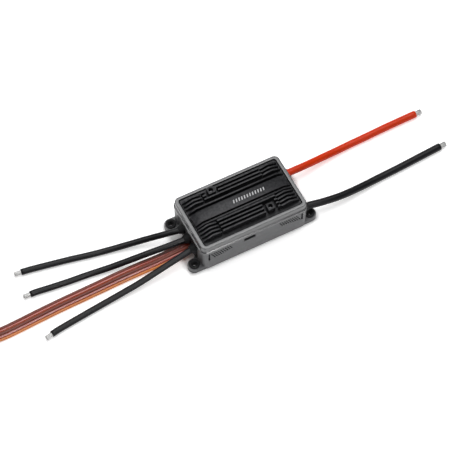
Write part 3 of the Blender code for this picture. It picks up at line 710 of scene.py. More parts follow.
def wear_and_highlight_group():
    """A broken mask along convex edges: rubbed edges on some finishes, and on the case plastic a
    painted edge highlight.
    """
    tree, given, end = new_tree("edge_wear_and_highlight", "ShaderNodeTree", (
        ("Amount", "Float", 0.5), ("Breakup Scale", "Float", 900.0)), (("Mask", "Float"),))
    shape = add_node(tree, "ShaderNodeNewGeometry")
    spots = noise(tree, object_place(tree), given["Breakup Scale"], 4.0)
    mask = math_node(tree, "MULTIPLY",
                     spread(tree, shape.outputs["Pointiness"], 0.0, 1.0, 0.51, 0.6),
                     spread(tree, spots, 0.0, 1.0, 0.35, 0.65))
    fill(tree, end, {"Mask": math_node(tree, "MULTIPLY", mask, given["Amount"])})
    return tree


def group_outputs(tree, make_group, values):
    if make_group not in TREES:
        TREES[make_group] = make_group()
    return add_node(tree, "ShaderNodeGroup", values, node_tree=TREES[make_group]).outputs


FINISHES = {}


def finish(name, colour, rough, grain=4000.0, bump=0.15, depth=0.02, mottle=0.12, metallic=0.0,
           wear_and_highlight=0.0, wear_and_highlight_colour=(0.5, 0.5, 0.5), streaks=None, pattern=None, **shader_values):
    """A procedural material: mottled colour, uneven gloss and a grain, with lighter convex edges
    where asked, which are rubbed metal on the sink and screws and a painted edge highlight on the
    case plastic.
    """
    if name in FINISHES:
        return FINISHES[name]
    mat = FINISHES[name] = bpy.data.materials.new(name)
    mat.use_nodes = True
    mat.diffuse_color = (*colour, 1.0)
    tree = mat.node_tree
    surface = group_outputs(tree, grain_group, {"Grain Scale": grain, "Mottle Scale": 140.0})
    height = surface["Height"]
    dark, light = ((*(min(1.0, c * share) for c in colour), 1.0)
                   for share in (1 - mottle, 1 + mottle))
    shade = blend(tree, spread(tree, surface["Mottle"], 0.0, 1.0), dark, light)
    if streaks:
        source, across, along = streaks
        if source == "flow":
            vector = add_node(tree, "ShaderNodeUVMap", uv_map="flow").outputs[0]
        else:
            vector = object_place(tree)
        lines = group_outputs(tree, streak_group, {"Vector": vector, "Across": across,
                                                   "Along": along})
        height = math_node(tree, "ADD", math_node(tree, "MULTIPLY", height, 0.4), lines["Height"])
        tone = spread(tree, lines["Tone"], 0.0, 1.0)
        shade = blend(tree, math_node(tree, "MULTIPLY", tone, 0.5), shade, light)
    if pattern:
        shade, height = pattern(tree, shade, height)
    if wear_and_highlight:
        # Lighter convex edges: rubbed metal on the sink and the screws, a painted edge highlight on
        # the case plastic.
        mask = group_outputs(tree, wear_and_highlight_group, {"Amount": wear_and_highlight})["Mask"]
        shade = blend(tree, mask, shade, (*wear_and_highlight_colour, 1.0))
    relief = add_node(tree, "ShaderNodeBump", {"Strength": bump, "Distance": depth * MM,
                                               "Height": height})
    fill(tree, tree.nodes["Principled BSDF"], {
        "Base Color": shade, "Roughness": spread(tree, surface["Mottle"], *rough),
        "Normal": relief.outputs[0], "Metallic": metallic,
        **{key.replace("_", " "): value for key, value in shader_values.items()}})
    return mat


def copper_tracks(tree, shade, height):
    """Tracks under the solder mask and tinned pads on a board."""
    place = object_place(tree)
    tracks = add_node(tree, "ShaderNodeTexBrick", {
        "Vector": place, "Scale": 420.0, "Mortar Size": 0.03, "Color1": (0, 0, 0, 1),
        "Color2": (0.25, 0.25, 0.25, 1), "Mortar": (1, 1, 1, 1)}, offset=0.37).outputs["Fac"]
    pads = spread(tree, cells(tree, place, 520.0), 1.0, 0.0, 0.16, 0.2)
    shade = blend(tree, math_node(tree, "MULTIPLY", tracks, 0.7), shade, (0.03, 0.16, 0.07, 1.0))
    shade = blend(tree, pads, shade, (0.62, 0.6, 0.56, 1.0))
    return shade, math_node(tree, "ADD", height, math_node(tree, "ADD", pads, tracks))


def hook_and_loop(tree, shade, height):
    """Rows of small loops on a fabric tie, darker in the hollows between them as painted shade."""
    loops = cells(tree, object_place(tree, (1, 1.6, 1.6)), 3200.0)
    loop_rise = spread(tree, loops, 0.0, 1.0, 0.1, 0.6)
    # Low between the loops the colour goes near black: painted shade in the hollows.
    return (blend(tree, loop_rise, (0.004, 0.004, 0.005, 1.0), shade),
            math_node(tree, "ADD", height, math_node(tree, "MULTIPLY", loop_rise, 2.0)))


def case_finish(name, colour, rough, bump, specular):
    # The lighter colour along the case's convex edges is a painted highlight on its rim and lip, not
    # rubbing.
    return finish(name, colour, rough, grain=5200.0, bump=bump, depth=0.02, mottle=0.06,
                  wear_and_highlight=0.35, wear_and_highlight_colour=(0.2, 0.202, 0.208), Specular_IOR_Level=specular)


def sink_finish():
    values = bpy.context.scene.speed_controller_sink
    return finish("black anodised aluminium", values.colour, (0.32, 0.42), grain=7000.0,
                  bump=0.22, depth=0.012, mottle=0.15, metallic=0.25, wear_and_highlight=0.3,
                  wear_and_highlight_colour=(0.1, 0.1, 0.105), streaks=("object", 5200.0, 5200.0),
                  Specular_IOR_Level=0.3)


def cutter_finish():
    return finish("cutter", (0.02, 0.02, 0.02), (0.5, 0.6))


def rubber_finish():
    return finish("moulded black rubber", (0.007, 0.007, 0.008), (0.5, 0.66), grain=5200.0,
                  bump=0.3, depth=0.02, mottle=0.2, Specular_IOR_Level=0.22)


def silicone(name, colour):
    """Soft satin insulation with faint lines from the die."""
    return finish(name, colour, (0.26, 0.36), grain=6000.0, bump=0.12, depth=0.015,
                  mottle=0.08, streaks=("flow", 26.0, 90.0), Specular_IOR_Level=0.2)


def core_finish(name, colour, rough, specular):
    """Harder, glossier insulation of the signal leads' cores."""
    return finish(name, colour, rough, grain=5000.0, bump=0.1, depth=0.015, mottle=0.1,
                  streaks=("flow", 14.0, 70.0), Specular_IOR_Level=specular)


def tinned_finish():
    return finish("solder tinned copper", (0.43, 0.43, 0.425), (0.4, 0.55), grain=2600.0,
                  bump=0.4, depth=0.03, mottle=0.14, metallic=1.0)


# ---- stage

def aimed(name, data, place, target=(0.0, 0.0, 0.0)):
    """A camera or lamp in the scene, turned to face a point."""
    obj = add_object(name, data)
    obj.location = place
    obj.rotation_euler = (Vector(target) - Vector(place)).to_track_quat("-Z", "Y").to_euler()
    return obj


class ESC_OT_stage(bpy.types.Operator):
    """Set the camera, the soft light and the pale floor"""
    bl_idname = "speed_controller.stage"
    bl_label = "Set the Stage"

    def execute(self, context):
        scene = context.scene
        values = scene.speed_controller_stage
        target = Vector(TARGET) * MM
        azimuth, height = math.radians(BEARING), math.radians(RISE)
        away = Vector((math.sin(azimuth) * math.cos(height),
                       -math.cos(azimuth) * math.cos(height), math.sin(height)))
        lens = bpy.data.cameras.new("camera")
        lens.lens, lens.sensor_width, lens.clip_start, lens.clip_end = 155.9, 36.0, 0.02, 20.0
        scene.camera = aimed("camera", lens, target + away * DISTANCE, target)
        scene.view_settings.view_transform = "Standard"
        scene.world = bpy.data.worlds.new("studio")
        scene.world.use_nodes = True
        fill(None, scene.world.node_tree.nodes["Background"],
             {"Color": (1.0, 1.0, 1.0, 1.0), "Strength": values.ambient})
        for name, place, size, share, soft in LAMPS:
            lamp = bpy.data.lights.new(name, "AREA")
            lamp.size, lamp.energy = size, values.key * share
            aimed(name, lamp, place).visible_diffuse = soft
        self.floor(values)
        return {"FINISHED"}

    def floor(self, values):
        """A pale floor that glows, except under the case, where the missing glow is a painted
        shadow.
        """
        pale = finish("pale studio floor", values.floor, (0.75, 0.85), grain=300.0, bump=0.02,
                      depth=0.02, mottle=0.004, Specular_IOR_Level=0.15,
                      Emission_Color=(1.0, 1.0, 1.0, 1.0))
        tree = pale.node_tree
        # The glow fades to nothing over the case's footprint: a painted shadow under the case.
        outside = object_place(tree)
        for operation, size in (("ABSOLUTE", (0, 0, 0)), ("SUBTRACT", PAINTED_SHADOW_HALF),
                                ("MAXIMUM", (0, 0, 0)), ("LENGTH", (0, 0, 0))):
            node = add_node(tree, "ShaderNodeVectorMath", {0: outside, 1: size},
                            operation=operation)
            outside = node.outputs["Value" if operation == "LENGTH" else "Vector"]
        fill(tree, tree.nodes["Principled BSDF"],
             {"Emission Strength": spread(tree, outside, 0.0, values.glow, 0.0, PAINTED_SHADOW_EDGE)})
        bm = bmesh.new()
        bmesh.ops.create_grid(bm, x_segments=8, y_segments=8, size=3.0)
        bmesh.ops.translate(bm, verts=bm.verts, vec=(0.0, 0.0, FLOOR_Z))
        mesh = bpy.data.meshes.new("studio_floor")
        bm.to_mesh(mesh)
        bm.free()
        to_object("studio_floor", mesh, pale)


# ---- power leads

def tip_mesh(radius, line, seed):
    """Tinned strands that stand out of a lead's cut end, with solder run in among them."""
    count = bpy.context.scene.speed_controller_leads.strands
    strand = 1.2 * math.pi * radius / (count + math.pi)
    core, length, buried = radius - 0.16 * strand, TIP_LENGTH, -TIP_BURIED
    single = lathed(((0.0, length), (0.6 * strand, length - 0.08), (strand, length - 0.4),
                     (strand, buried), (0.0, buried)), steps=8)
    ring = grown(strand_points, single, {
        "Count": count, "Radius": (radius - strand) * MM, "Lay": math.radians(9), "Seed": seed,
        "Finish": tinned_finish()})
    solder = lathed(((0.0, length + 0.1), (0.5 * core, length), (0.8 * core, length - 0.2),
                     (core, length - 0.6), (core, buried), (0.0, buried)), steps=24)
    mesh = joined((ring, solder))
    end, before = Vector(line[-1][:3]), Vector(line[-2][:3])
    turn = (end - before).to_track_quat("Z", "Y").to_matrix().to_4x4()
    mesh.transform(Matrix.Translation(end * MM) @ turn)
    return mesh


def power_lead(label, route, radius, tip_radius, insulation, slot, seed):
    """A round silicone lead with a square cut end, and the tinned strands that stand out of it."""
    line = [(x, y, max(z, radius)) for x, y, z in smooth_line(route, 1.1)]
    frames = headings(line)
    centres = [Vector(p) for p in line]
    radii = [radius * (1 + 0.004 * math.sin(0.9 * i + seed)) for i in range(len(line) - 1)]
    radii += [radius, radius - 0.1, tip_radius + 0.06]
    centres += [centres[-1] + frames[-1][0] * 0.1] * 2
    frames += [frames[-1]] * 2
    mesh = tube_mesh([(centres, frames, radii, 0)], LEAD_SIDES)
    node, tip_node = label.replace("_flex", ""), label.replace("lead_flex", "lead_tip")
    lead = to_object(label, mesh, insulation, slot, (node,), angle=50.0)
    tip = to_object(tip_node.replace("lead_tip", "strands"), tip_mesh(tip_radius, line, seed),
                    tinned_finish(), "tinned_copper", (tip_node,))


class ESC_OT_power_leads(bpy.types.Operator):
    """Make the motor leads and the battery leads with their tinned ends"""
    bl_idname = "speed_controller.power_leads"
    bl_label = "Make Power Leads"

    def execute(self, context):
        values = context.scene.speed_controller_leads
        black = silicone("black silicone", values.black)
        red = silicone("red silicone", values.red)
        for i, route in enumerate(OUTPUT_ROUTES, 1):
            power_lead(f"motor_lead_flex_{i}", route, OUTPUT_RADIUS, OUTPUT_TIP, black,
                       "lead_black", i)
        power_lead("battery_lead_flex_red", RED_ROUTE, INPUT_RADIUS, INPUT_TIP, red,
                   "lead_red", 4)
        power_lead("battery_lead_flex_black", BLACK_ROUTE, INPUT_RADIUS, INPUT_TIP, black,
                   "lead_black", 5)
        return {"FINISHED"}


# ---- signal leads and plugs

def ease(t):
    t = min(1.0, max(0.0, t))
    return t * t * (3 - 2 * t)


def flat_lead_route(across, up, tilt, stand, coil_radius, tail_radius, plug_z):
    """A flat lead's middle line with its roll: along the floor, up on edge, once round the coil
    and in to its plug."""
    on_edge = math.radians(90)
    route = [(x, y + across * (1 + PAIR_SPREAD * ease((-30 - x) / 20) * (across > 0)), z + up, tilt)
             for x, y, z in PAIR_ROUTE]
    x, y, z, _ = route[-1]
    route.append(((x + stand[0]) / 2, (y + stand[1]) / 2, (z + COIL_Z) / 2 + 0.3,
                  (tilt + on_edge) / 2))
    route.append((*stand, COIL_Z, on_edge))
    cx, cy = COIL_CENTRE
    for i in range(COIL_STEPS + 1):
        share = i / COIL_STEPS
        x, y = arc(COIL_CENTRE, coil_radius - COIL_CLOSING * share, -90 - 360 * share, 0, 1)[0]
        route.append((x, y, COIL_Z, on_edge))
    bend = (cx, cy - coil_radius + COIL_CLOSING + tail_radius)
    pull = PLUG_CENTRE[0] - (cx - tail_radius)
    for i, (x, y) in enumerate(arc(bend, tail_radius, -90, -90, 7)[1:], 1):
        t = ease(0.8 * i / 7)
        route.append((x + pull * t, y, COIL_Z + (plug_z - COIL_Z) * t, on_edge * (1 + t)))
    plug_face = PLUG_CENTRE[1] - PLUG_SIZE[1] / 2
    return route + [(PLUG_CENTRE[0], plug_face + y, plug_z, 2 * on_edge) for y in (-0.6, 1.0)]


def flat_lead(label, place, finishes):
    """Three round cores side by side, brown, red and orange, bonded into a flat lead."""
    line = smooth_line(flat_lead_route(*place), 1.0)
    frames = headings(line)
    tubes = []
    for index, shift in enumerate((CORE_SPREAD, 0.0, -CORE_SPREAD)):
        centres = [Vector((x, y, z)) + (math.cos(roll) * side + math.sin(roll) * up) * shift
                   for (x, y, z, roll), (_, side, up) in zip(line, frames)]
        tubes.append((centres, frames, [3 * CORE / 2 - CORE_SPREAD] * len(line), index))
    mesh = tube_mesh(tubes, CORE_SIDES)
    lead = to_object(f"{label}_flat_lead", mesh, None, "servo_lead",
                     (f"{label}_lead", "signal_lead_coil"), angle=50.0)
    for mat in finishes:
        mesh.materials.append(mat)


def plug_mesh(z):
    """A three-way plug: square sockets at its end, contact windows on top, rails at the sides."""
    x, y = PLUG_CENTRE
    hx, hy, hz = (s / 2 for s in PLUG_SIZE)
    plain = cutter_finish()
    ribs = row(block((0, 0, 0), (hx - 0.5, 0.14, 0.1), 0.05), 4,
               (x, y - hy + 1.4, z + hz - 0.06), (0, 0.75, 0), plain)
    tools = [row(block((0, 0, 0), half), 3, (x - PIN_PITCH, place, height), (PIN_PITCH, 0, 0),
                 plain) for half, place, height in (((0.5, 4.0, 0.5), y + hy - 2.5, z),
                                         ((0.55, 1.9, 0.35), y - 2.2, z + hz),
                                         ((0.62, 1.6, 0.3), y - hy + 1.2, z))]
    tools += [block((x + side * hx, y + hy / 2, z), (0.3, hy / 2 + 1.0, 0.45)) for side in (-1, 1)]
    body = block((x, y, z), (hx, hy, hz), 0.28, 3)
    return carve(carve(body, "UNION", [ribs]), "DIFFERENCE", tools)


def contact_mesh(z):
    """Three folded contacts that show in a plug's windows."""
    x, y = PLUG_CENTRE
    blade = box((-0.45, -4.6, -0.35), (0.45, 4.4, 0.42), 0.08)
    return row(blade, 3, (x - PIN_PITCH, y - 0.6, z + 0.3), (PIN_PITCH, 0, 0), tinned_finish())


def tie_mesh():
    """A hook and loop band round the two flat leads, with its free end lapped over."""
    cx, cy = COIL_CENTRE
    middle = cy + (FLAT_LEADS["bec"][4] + FLAT_LEADS["throttle"][4]) / 2 - COIL_CLOSING / 2
    inner, thick, half = (1.6, 2.05), 0.42, TIE_WIDTH / 2
    rings = []
    for reach, shrink, corner, sign in ((thick, 0.06, 0.9, 1), (0.0, -0.06, 0.55, -1)):
        for x, cut in ((-half, shrink), (-half + 0.1, 0.0), (half - 0.1, 0.0), (half, shrink)):
            outline = rounded_outline([size + reach - cut for size in inner], corner)
            rings.append([(cx + sign * x, middle + a, inner[1] + thick + b) for a, b in outline])
    lap = middle + inner[0] + thick
    flap = box((cx - half + 0.1, lap - 0.05, 0.7), (cx + half - 0.1, lap + 0.35, 4.1), 0.12)
    return joined((lofted(rings, closed=True), flap))


class ESC_OT_signal_leads(bpy.types.Operator):
    """Make the two flat signal leads, their plugs and the tie round their coil"""
    bl_idname = "speed_controller.signal_leads"
    bl_label = "Make Signal Leads"

    def execute(self, context):
        values = context.scene.speed_controller_leads
        cores = [core_finish("brown core insulation", values.core_brown, (0.34, 0.44), 0.3),
                 core_finish("red core insulation", values.core_red, (0.15, 0.22), 0.8),
                 core_finish("orange core insulation", values.core_orange, (0.28, 0.38), 0.4)]
        nylon = finish("black plug nylon", (0.018, 0.018, 0.019), (0.36, 0.48), grain=4200.0,
                       bump=0.25, mottle=0.15)
        band = finish("hook and loop band", (0.03, 0.03, 0.032), (0.8, 0.95), grain=2600.0,
                      bump=0.8, depth=0.08, pattern=hook_and_loop, Sheen_Weight=0.4)
        tie = to_object("coil_band", tie_mesh(), band, "tie_plastic", ("coil_tie",))
        for label, place in FLAT_LEADS.items():
            z = place[-1]
            plug = to_object(f"{label}_plug_body", plug_mesh(z), nylon, "plug_plastic",
                             (f"{label}_plug",))
            contacts = to_object(f"{label}_plug_contacts", contact_mesh(z), tinned_finish(),
                                 "tinned_copper")
            flat_lead(label, place, cores)
        return {"FINISHED"}


# ---- tray and bezel

def ear_outline(sx, sy):
    """One ear seen from above, with a fillet where its inner side meets the end wall."""
    x, y = EAR_CENTRE
    root, wall, inner = TRAY_HALF[0] - TRAY_CORNER - 0.6, TRAY_HALF[0], y - EAR_RADIUS
    points = [(root, y + EAR_RADIUS), *arc((x, y), EAR_RADIUS, 90, -180, 20),
              *arc((wall + EAR_FILLET, inner - EAR_FILLET), EAR_FILLET, 90, 90, 6),
              (wall - 0.9, inner - EAR_FILLET), (wall - 0.9, inner), (root, inner)]
    outline = [(sx * a, sy * b) for a, b in points]
    return outline if sx * sy < 0 else outline[::-1]


def groove_cutters(plain):
    """The slanted grooves and the end slots of both long faces."""
    unit = block((0, 0, 0), (GROOVE_WIDTH / 2, GROOVE_DEPTH, 0.5))
    low, high = END_SLOT_SPAN
    cutters = []
    for side_x, side_y in GROMMETS.values():
        face = side_y * TRAY_HALF[1]
        start = Vector((side_x * GROOVE_START, face, GROOVE_TOP - GROOVE_LENGTH / 2)) * MM
        cutters.append(grown(groove_points, unit.copy(), {
            "Count": GROOVE_COUNT, "Start": start, "Finish": plain,
            "Step": Vector((-side_x * GROOVE_PITCH, 0, GROOVE_FADE / 2)) * MM}))
        cutters.append(block((side_x * END_SLOT_X, face, (low + high) / 2),
                             (END_SLOT_HALF, GROOVE_DEPTH, (high - low) / 2)))
    return cutters


def tray_mesh(edge):
    """The tray with its ears and posts, cut by every hole, groove, slot and notch."""
    wall, floor, (hx, hy) = TRAY_WALL, TRAY_FLOOR, TRAY_HALF
    profile = []
    for i in range(4):
        angle = math.radians(30 * i)
        inset = edge * (1 - math.sin(angle))
        profile.append((hx - inset, hy - inset, TRAY_CORNER - inset, edge * (1 - math.cos(angle))))
    profile += [(hx, hy, TRAY_CORNER, TRAY_TOP),
                (hx - wall, hy - wall, TRAY_CORNER - wall, TRAY_TOP),
                (hx - wall, hy - wall, TRAY_CORNER - wall, floor)]
    plain = cutter_finish()
    solids, holes = [], groove_cutters(plain)
    for sx, sy in GROMMETS.values():
        solids.append(prism(ear_outline(sx, sy), 0.0, EAR_HEIGHT, 0.35))
        holes.append(rod(sx * EAR_CENTRE[0], sy * EAR_CENTRE[1], -1.0, EAR_HEIGHT + 1.0,
                         EAR_BORE, 48))
    for x, y in BOSSES:
        solids += [rod(x, y, floor - 0.5, POST_TOP, 2.9), rod(x, -y, floor - 0.5, POST_TOP, 1.6)]
        holes.append(lathed(((0.0, 5.0), (1.3, 5.0), (1.3, 1.8), (2.2, 1.8), (2.2, 0.15),
                             (2.5, -0.15), (2.5, -1.0), (0.0, -1.0)), (x, y)))
    x, z, length, height = WINDOW
    end, top = hx - wall, TRAY_TOP + 1.0
    output, inlet = OUTPUT_SEAL_HALF + SEAL_GAP, INPUT_SEAL_HALF + SEAL_GAP
    for grow, depth in ((0.0, wall + 0.5), (0.15, 0.15)):
        holes.append(box((x - length / 2 - grow, -hy - 1.0, z - height / 2 - grow),
                         (x + length / 2 + grow, -hy + depth, z + height / 2 + grow)))
    holes += [box((-hx - 1.0, -output, NOTCH_FOOT), (-end + 1.0, output, top)),
              box((end - 1.0, -inlet, NOTCH_FOOT), (hx + 1.0, inlet, top)),
              box((-hx - 1.0, PORT[0][0] - 0.05, PORT[1][0] - 0.25),
                  (-end + 1.0, PORT[0][1] + 0.05, 4.0))]
    shell = carve(lofted(slab_rings(profile)), "UNION", solids)
    return carve(shell, "DIFFERENCE", holes)


class ESC_OT_tray(bpy.types.Operator):
    """Make the moulded tray with its ears, grooves, slots and light window"""
    bl_idname = "speed_controller.tray"
    bl_label = "Make Tray"

    def execute(self, context):
        values = context.scene.speed_controller_case
        plastic = case_finish("moulded case plastic", values.colour, (0.34, 0.46), 0.3, 0.6)
        to_object("tray_shell", tray_mesh(values.edge / MM), plastic, "case_plastic",
                  ("bottom_case",), angle=28.0)
        return {"FINISHED"}


class ESC_OT_bezel(bpy.types.Operator):
    """Make the bezel that frames the heat sink, with the thin lip at its foot"""
    bl_idname = "speed_controller.bezel"
    bl_label = "Make Bezel"

    def execute(self, context):
        values = context.scene.speed_controller_case
        rim = values.rim_edge / MM
        profile = (
            (*LIP_HALF, 2.8, BEZEL_BOTTOM), (*LIP_HALF, 2.8, LIP_TOP),
            (*BEZEL_WALL_HALF, 2.4, LIP_TOP + 0.3), (*BEZEL_WALL_HALF, 2.4, BEZEL_TOP),
            (*RIM_HALF, 1.2, BEZEL_TOP), (*RIM_HALF, 1.2, LEDGE_TOP),
            (*LEDGE_HALF, 1.2, LEDGE_TOP), (*LEDGE_HALF, 1.2, TONGUE_BOTTOM),
            (*TONGUE_HALF, 1.2, TONGUE_BOTTOM), (*TONGUE_HALF, 1.2, BEZEL_BOTTOM))
        radii = (0.08, 0.12, 0.05, rim, 0.12, 0.0, 0.05, 0.1, 0.1, 0.0)
        rings = slab_rings(eased(profile, radii, 5), 10)
        # The bezel's lighter colour is painted light over the tray's plastic.
        plastic = case_finish("smooth case plastic", values.bezel_lightened_colour, (0.18, 0.26), 0.12, 0.8)
        to_object("bezel_frame", lofted(rings, closed=True), plastic, "case_plastic",
                  ("top_bezel",), angle=40.0)
        return {"FINISHED"}


# ---- heat sink

LONG_OUTLINE = ((-SLOPE_END, FIN_FOOT), (SLOPE_END, FIN_FOOT), (SLOPE_END, TOE),
                (FLAT_HALF_LENGTH, SINK_TOP), (-FLAT_HALF_LENGTH, SINK_TOP), (-SLOPE_END, TOE))


def segment_outline(side):
    """A short end fin that rises outwards to a kink and slopes down to the edge."""
    points = ((SEGMENT_START, FIN_FOOT), (SLOPE_END, FIN_FOOT), (SLOPE_END, TOE),
              (SEGMENT_KINK, SINK_TOP), (SEGMENT_START, SINK_TOP - SEGMENT_DIP))
    return [(side * x, z) for x, z in points][::side]


def fin(outline, edge, width=FIN_WIDTH):
    """One fin, standing across y = 0, with its long edges and ends rounded."""
    return prism(outline, -width / 2, width / 2, edge, axis="Y", bottom_too=True)


def fin_banks(edge, metal):
    """The two long fins beside the land, and the banks of short ones broken by the bosses."""
    banks = []

    def add(outline, count, first, pitch):
        banks.append(row(fin(outline, edge), count, (0, first, 0), (0, pitch, 0), metal))

    def add_bar(start, end, *place):
        add(((start, FIN_FOOT), (end, FIN_FOOT), (end, SINK_TOP), (start, SINK_TOP)), *place)

    for (first, pitch, rows), (boss, _) in zip((BACK_BANK, FRONT_BANK), BOSSES):
        for side in (-1, 1):
            add(segment_outline(side), rows, first, pitch)
        add_bar(-MAIN_HALF, MAIN_HALF, 1, first, pitch)
        add_bar(-MAIN_HALF, boss - BOSS_CLEARING, rows - 1, first + pitch, pitch)
        add_bar(boss + BOSS_CLEARING, MAIN_HALF, rows - 1, first + pitch, pitch)
    add(LONG_OUTLINE, 2, LONG_FINS[0], LONG_FINS[1] - LONG_FINS[0])
    return banks


def sink_base_mesh():
    """The plate and its spigot, with the two square bosses and their stepped bores."""
    profile = (
        (*SPIGOT_HALF, 1.0, SINK_UNDERSIDE), (*SPIGOT_HALF, 1.0, LEDGE_TOP + 0.3),
        (*PLATE_HALF, 1.1, LEDGE_TOP + 0.3), (*PLATE_HALF, 1.1, PLATE_TOP - 0.2),
        (PLATE_HALF[0] - 0.2, PLATE_HALF[1] - 0.2, 0.9, PLATE_TOP))
    plate = lofted(slab_rings(profile))
    solids = [box((-MAIN_HALF, -5.1, PLATE_TOP - 0.4), (MAIN_HALF, -3.9, WEB_TOP))]
    for x, y in BOSSES:
        outline = rounded_outline((BOSS_HALF, BOSS_HALF), 0.25, 3)
        solids.append(prism([(x + a, y + b) for a, b in outline], FIN_FOOT,
                            SINK_TOP, 0.15))
    plate = carve(plate, "UNION", solids)
    bores = [lathed(((0.0, 20.0), (BOSS_BORE + 1.05, 20.0), (BOSS_BORE + 0.05, SINK_TOP),
                     (BOSS_BORE, SINK_TOP - 0.08), (BOSS_BORE, BOSS_STEP),
                     (SCREW_BORE, BOSS_STEP), (SCREW_BORE, 12.0), (0.0, 12.0)), (x, y), 32)
             for x, y in BOSSES]
    return carve(plate, "DIFFERENCE", bores)


def tick_row(values):
    """A plain row of leaning tick marks printed on the land, each a hair above it."""
    half, lean, width = 0.78, 0.42, 0.5
    low, high = SINK_TOP - 0.05, SINK_TOP + 0.012
    outline = ((-width / 2 - lean / 2, -half), (width / 2 - lean / 2, -half),
               (width / 2 + lean / 2, half), (-width / 2 + lean / 2, half))
    ink = finish("grey pad print", values.print_colour, (0.45, 0.6), grain=5000.0,
                 bump=0.1, mottle=0.08)
    marks = row(prism(outline, low, high), values.ticks, (-3.2, 0, 0), (1.3, 0, 0), ink)
    return marks, ink


class ESC_OT_heat_sink(bpy.types.Operator):
    """Make the anodised heat sink: plate, land, banks of fins, bosses and printed ticks"""
    bl_idname = "speed_controller.heat_sink"
    bl_label = "Make Heat Sink"

    def execute(self, context):
        values = context.scene.speed_controller_sink
        edge = values.edge / MM
        metal = sink_finish()
        to_object("heat_sink_plate", sink_base_mesh(), metal, "black_anodised", ("heat_sink",))
        land = fin(LONG_OUTLINE, 0.16, 2 * LAND_HALF_WIDTH)
        to_object("heat_sink_land", land, metal, "black_anodised", ("heat_sink",))
        to_object("heat_sink_fins", joined(fin_banks(edge, metal)), metal,
                  "black_anodised", ("heat_sink",))
        marks, ink = tick_row(values)
        to_object("land_ticks", marks, ink, "black_anodised")
        return {"FINISHED"}


# ---- rubber pieces

def collar(side, y, z, radius):
    """A tapered collar round a lead where it leaves a seal."""
    profile = ((radius - 0.2, -0.8), (radius + 1.1, -0.8), (radius + 1.05, 0.4),
               (radius + 0.8, 0.85), (radius + 0.42, 1.5), (radius + 0.3, 2.1),
               (radius + 0.12, 2.3), (radius - 0.2, 2.3))
    mesh = lathed(profile, steps=40)
    turn = Matrix.Rotation(math.radians(90) * side, 4, "Y")
    place = Vector((side * TRAY_HALF[0], y, z)) * MM
    mesh.transform(Matrix.Translation(place) @ turn)
    return mesh


def seal_mesh(side, lead_ys, z, radius, half):
    """A moulded strip that fills an end notch, with a collar round each lead."""
    inner = TRAY_HALF[0] - TRAY_WALL
    near, far = sorted((side * (inner - 0.4), side * (TRAY_HALF[0] + 0.05)))
    parts = [box((near, -half, SEAL_SPAN[0]), (far, half, SEAL_SPAN[1] + 0.25), 0.2)]
    parts += [collar(side, y, z, radius) for y in lead_ys]
    if side < 0:
        (y0, y1), (z0, z1) = PORT
        parts.append(box((near, y0, z0 - 0.2), (far - 0.45, y1, z1 - 0.1), 0.3, 3))
    return joined(parts)


class ESC_OT_seals(bpy.types.Operator):
    """Make the rubber seals at both ends of the case"""
    bl_idname = "speed_controller.seals"
    bl_label = "Make Seals"

    def execute(self, context):
        rubber = rubber_finish()
        for end, *shape in (("output", -1, OUTPUT_Y, OUTPUT_Z, OUTPUT_RADIUS, OUTPUT_SEAL_HALF),
                            ("input", 1, INPUT_Y, INPUT_Z, INPUT_RADIUS, INPUT_SEAL_HALF)):
            to_object(f"{end}_seal_strip", seal_mesh(*shape), rubber, "black_rubber",
                      (f"{end}_lead_seal",))
        return {"FINISHED"}


class ESC_OT_grommets(bpy.types.Operator):
    """Make the four rubber grommets in the mounting ears"""
    bl_idname = "speed_controller.grommets"
    bl_label = "Make Grommets"

    def execute(self, context):
        low, top = EAR_HEIGHT, EAR_HEIGHT + 0.9
        profile = eased(((1.5, top), (2.35, top), (2.35, low), (1.95, low), (1.95, 0.15),
                         (1.0, 0.15), (1.0, top - 0.4)), (0.28, 0.4, 0.08, 0, 0.1, 0.1, 0.1), 4)
        for where, (sx, sy) in GROMMETS.items():
            ring = lathed(profile, (sx * EAR_CENTRE[0], sy * EAR_CENTRE[1]), 56)
            to_object(f"grommet_{where}", ring, rubber_finish(), "black_rubber",
                      (f"ear_grommet_{where}",))
        return {"FINISHED"}


# ---- screws and boards

def screw_mesh(x, y):
    """A cap screw from below: socket head, threaded shank and a blunt point."""
    head_low, head_high, tip = 0.3, 1.5, 17.2
    profile = [(0.0, tip), (0.55, tip), (0.8, tip - 0.3)]
    z = tip - 0.5
    while z > 13.4:
        profile += [(1.0, z), (0.82, z - 0.2)]
        z -= 0.4
    profile += [(0.9, 13.2), (0.9, head_high), (1.7, head_high), (1.9, head_high - 0.15),
                (1.9, head_low + 0.25), (1.65, head_low), (0.0, head_low)]
    screw = lathed(profile, (x, y), 40)
    socket = prism(arc((x, y), 0.9, 0, 360, 6)[:-1], -0.5, head_low + 0.7)
    return carve(screw, "DIFFERENCE", [socket])


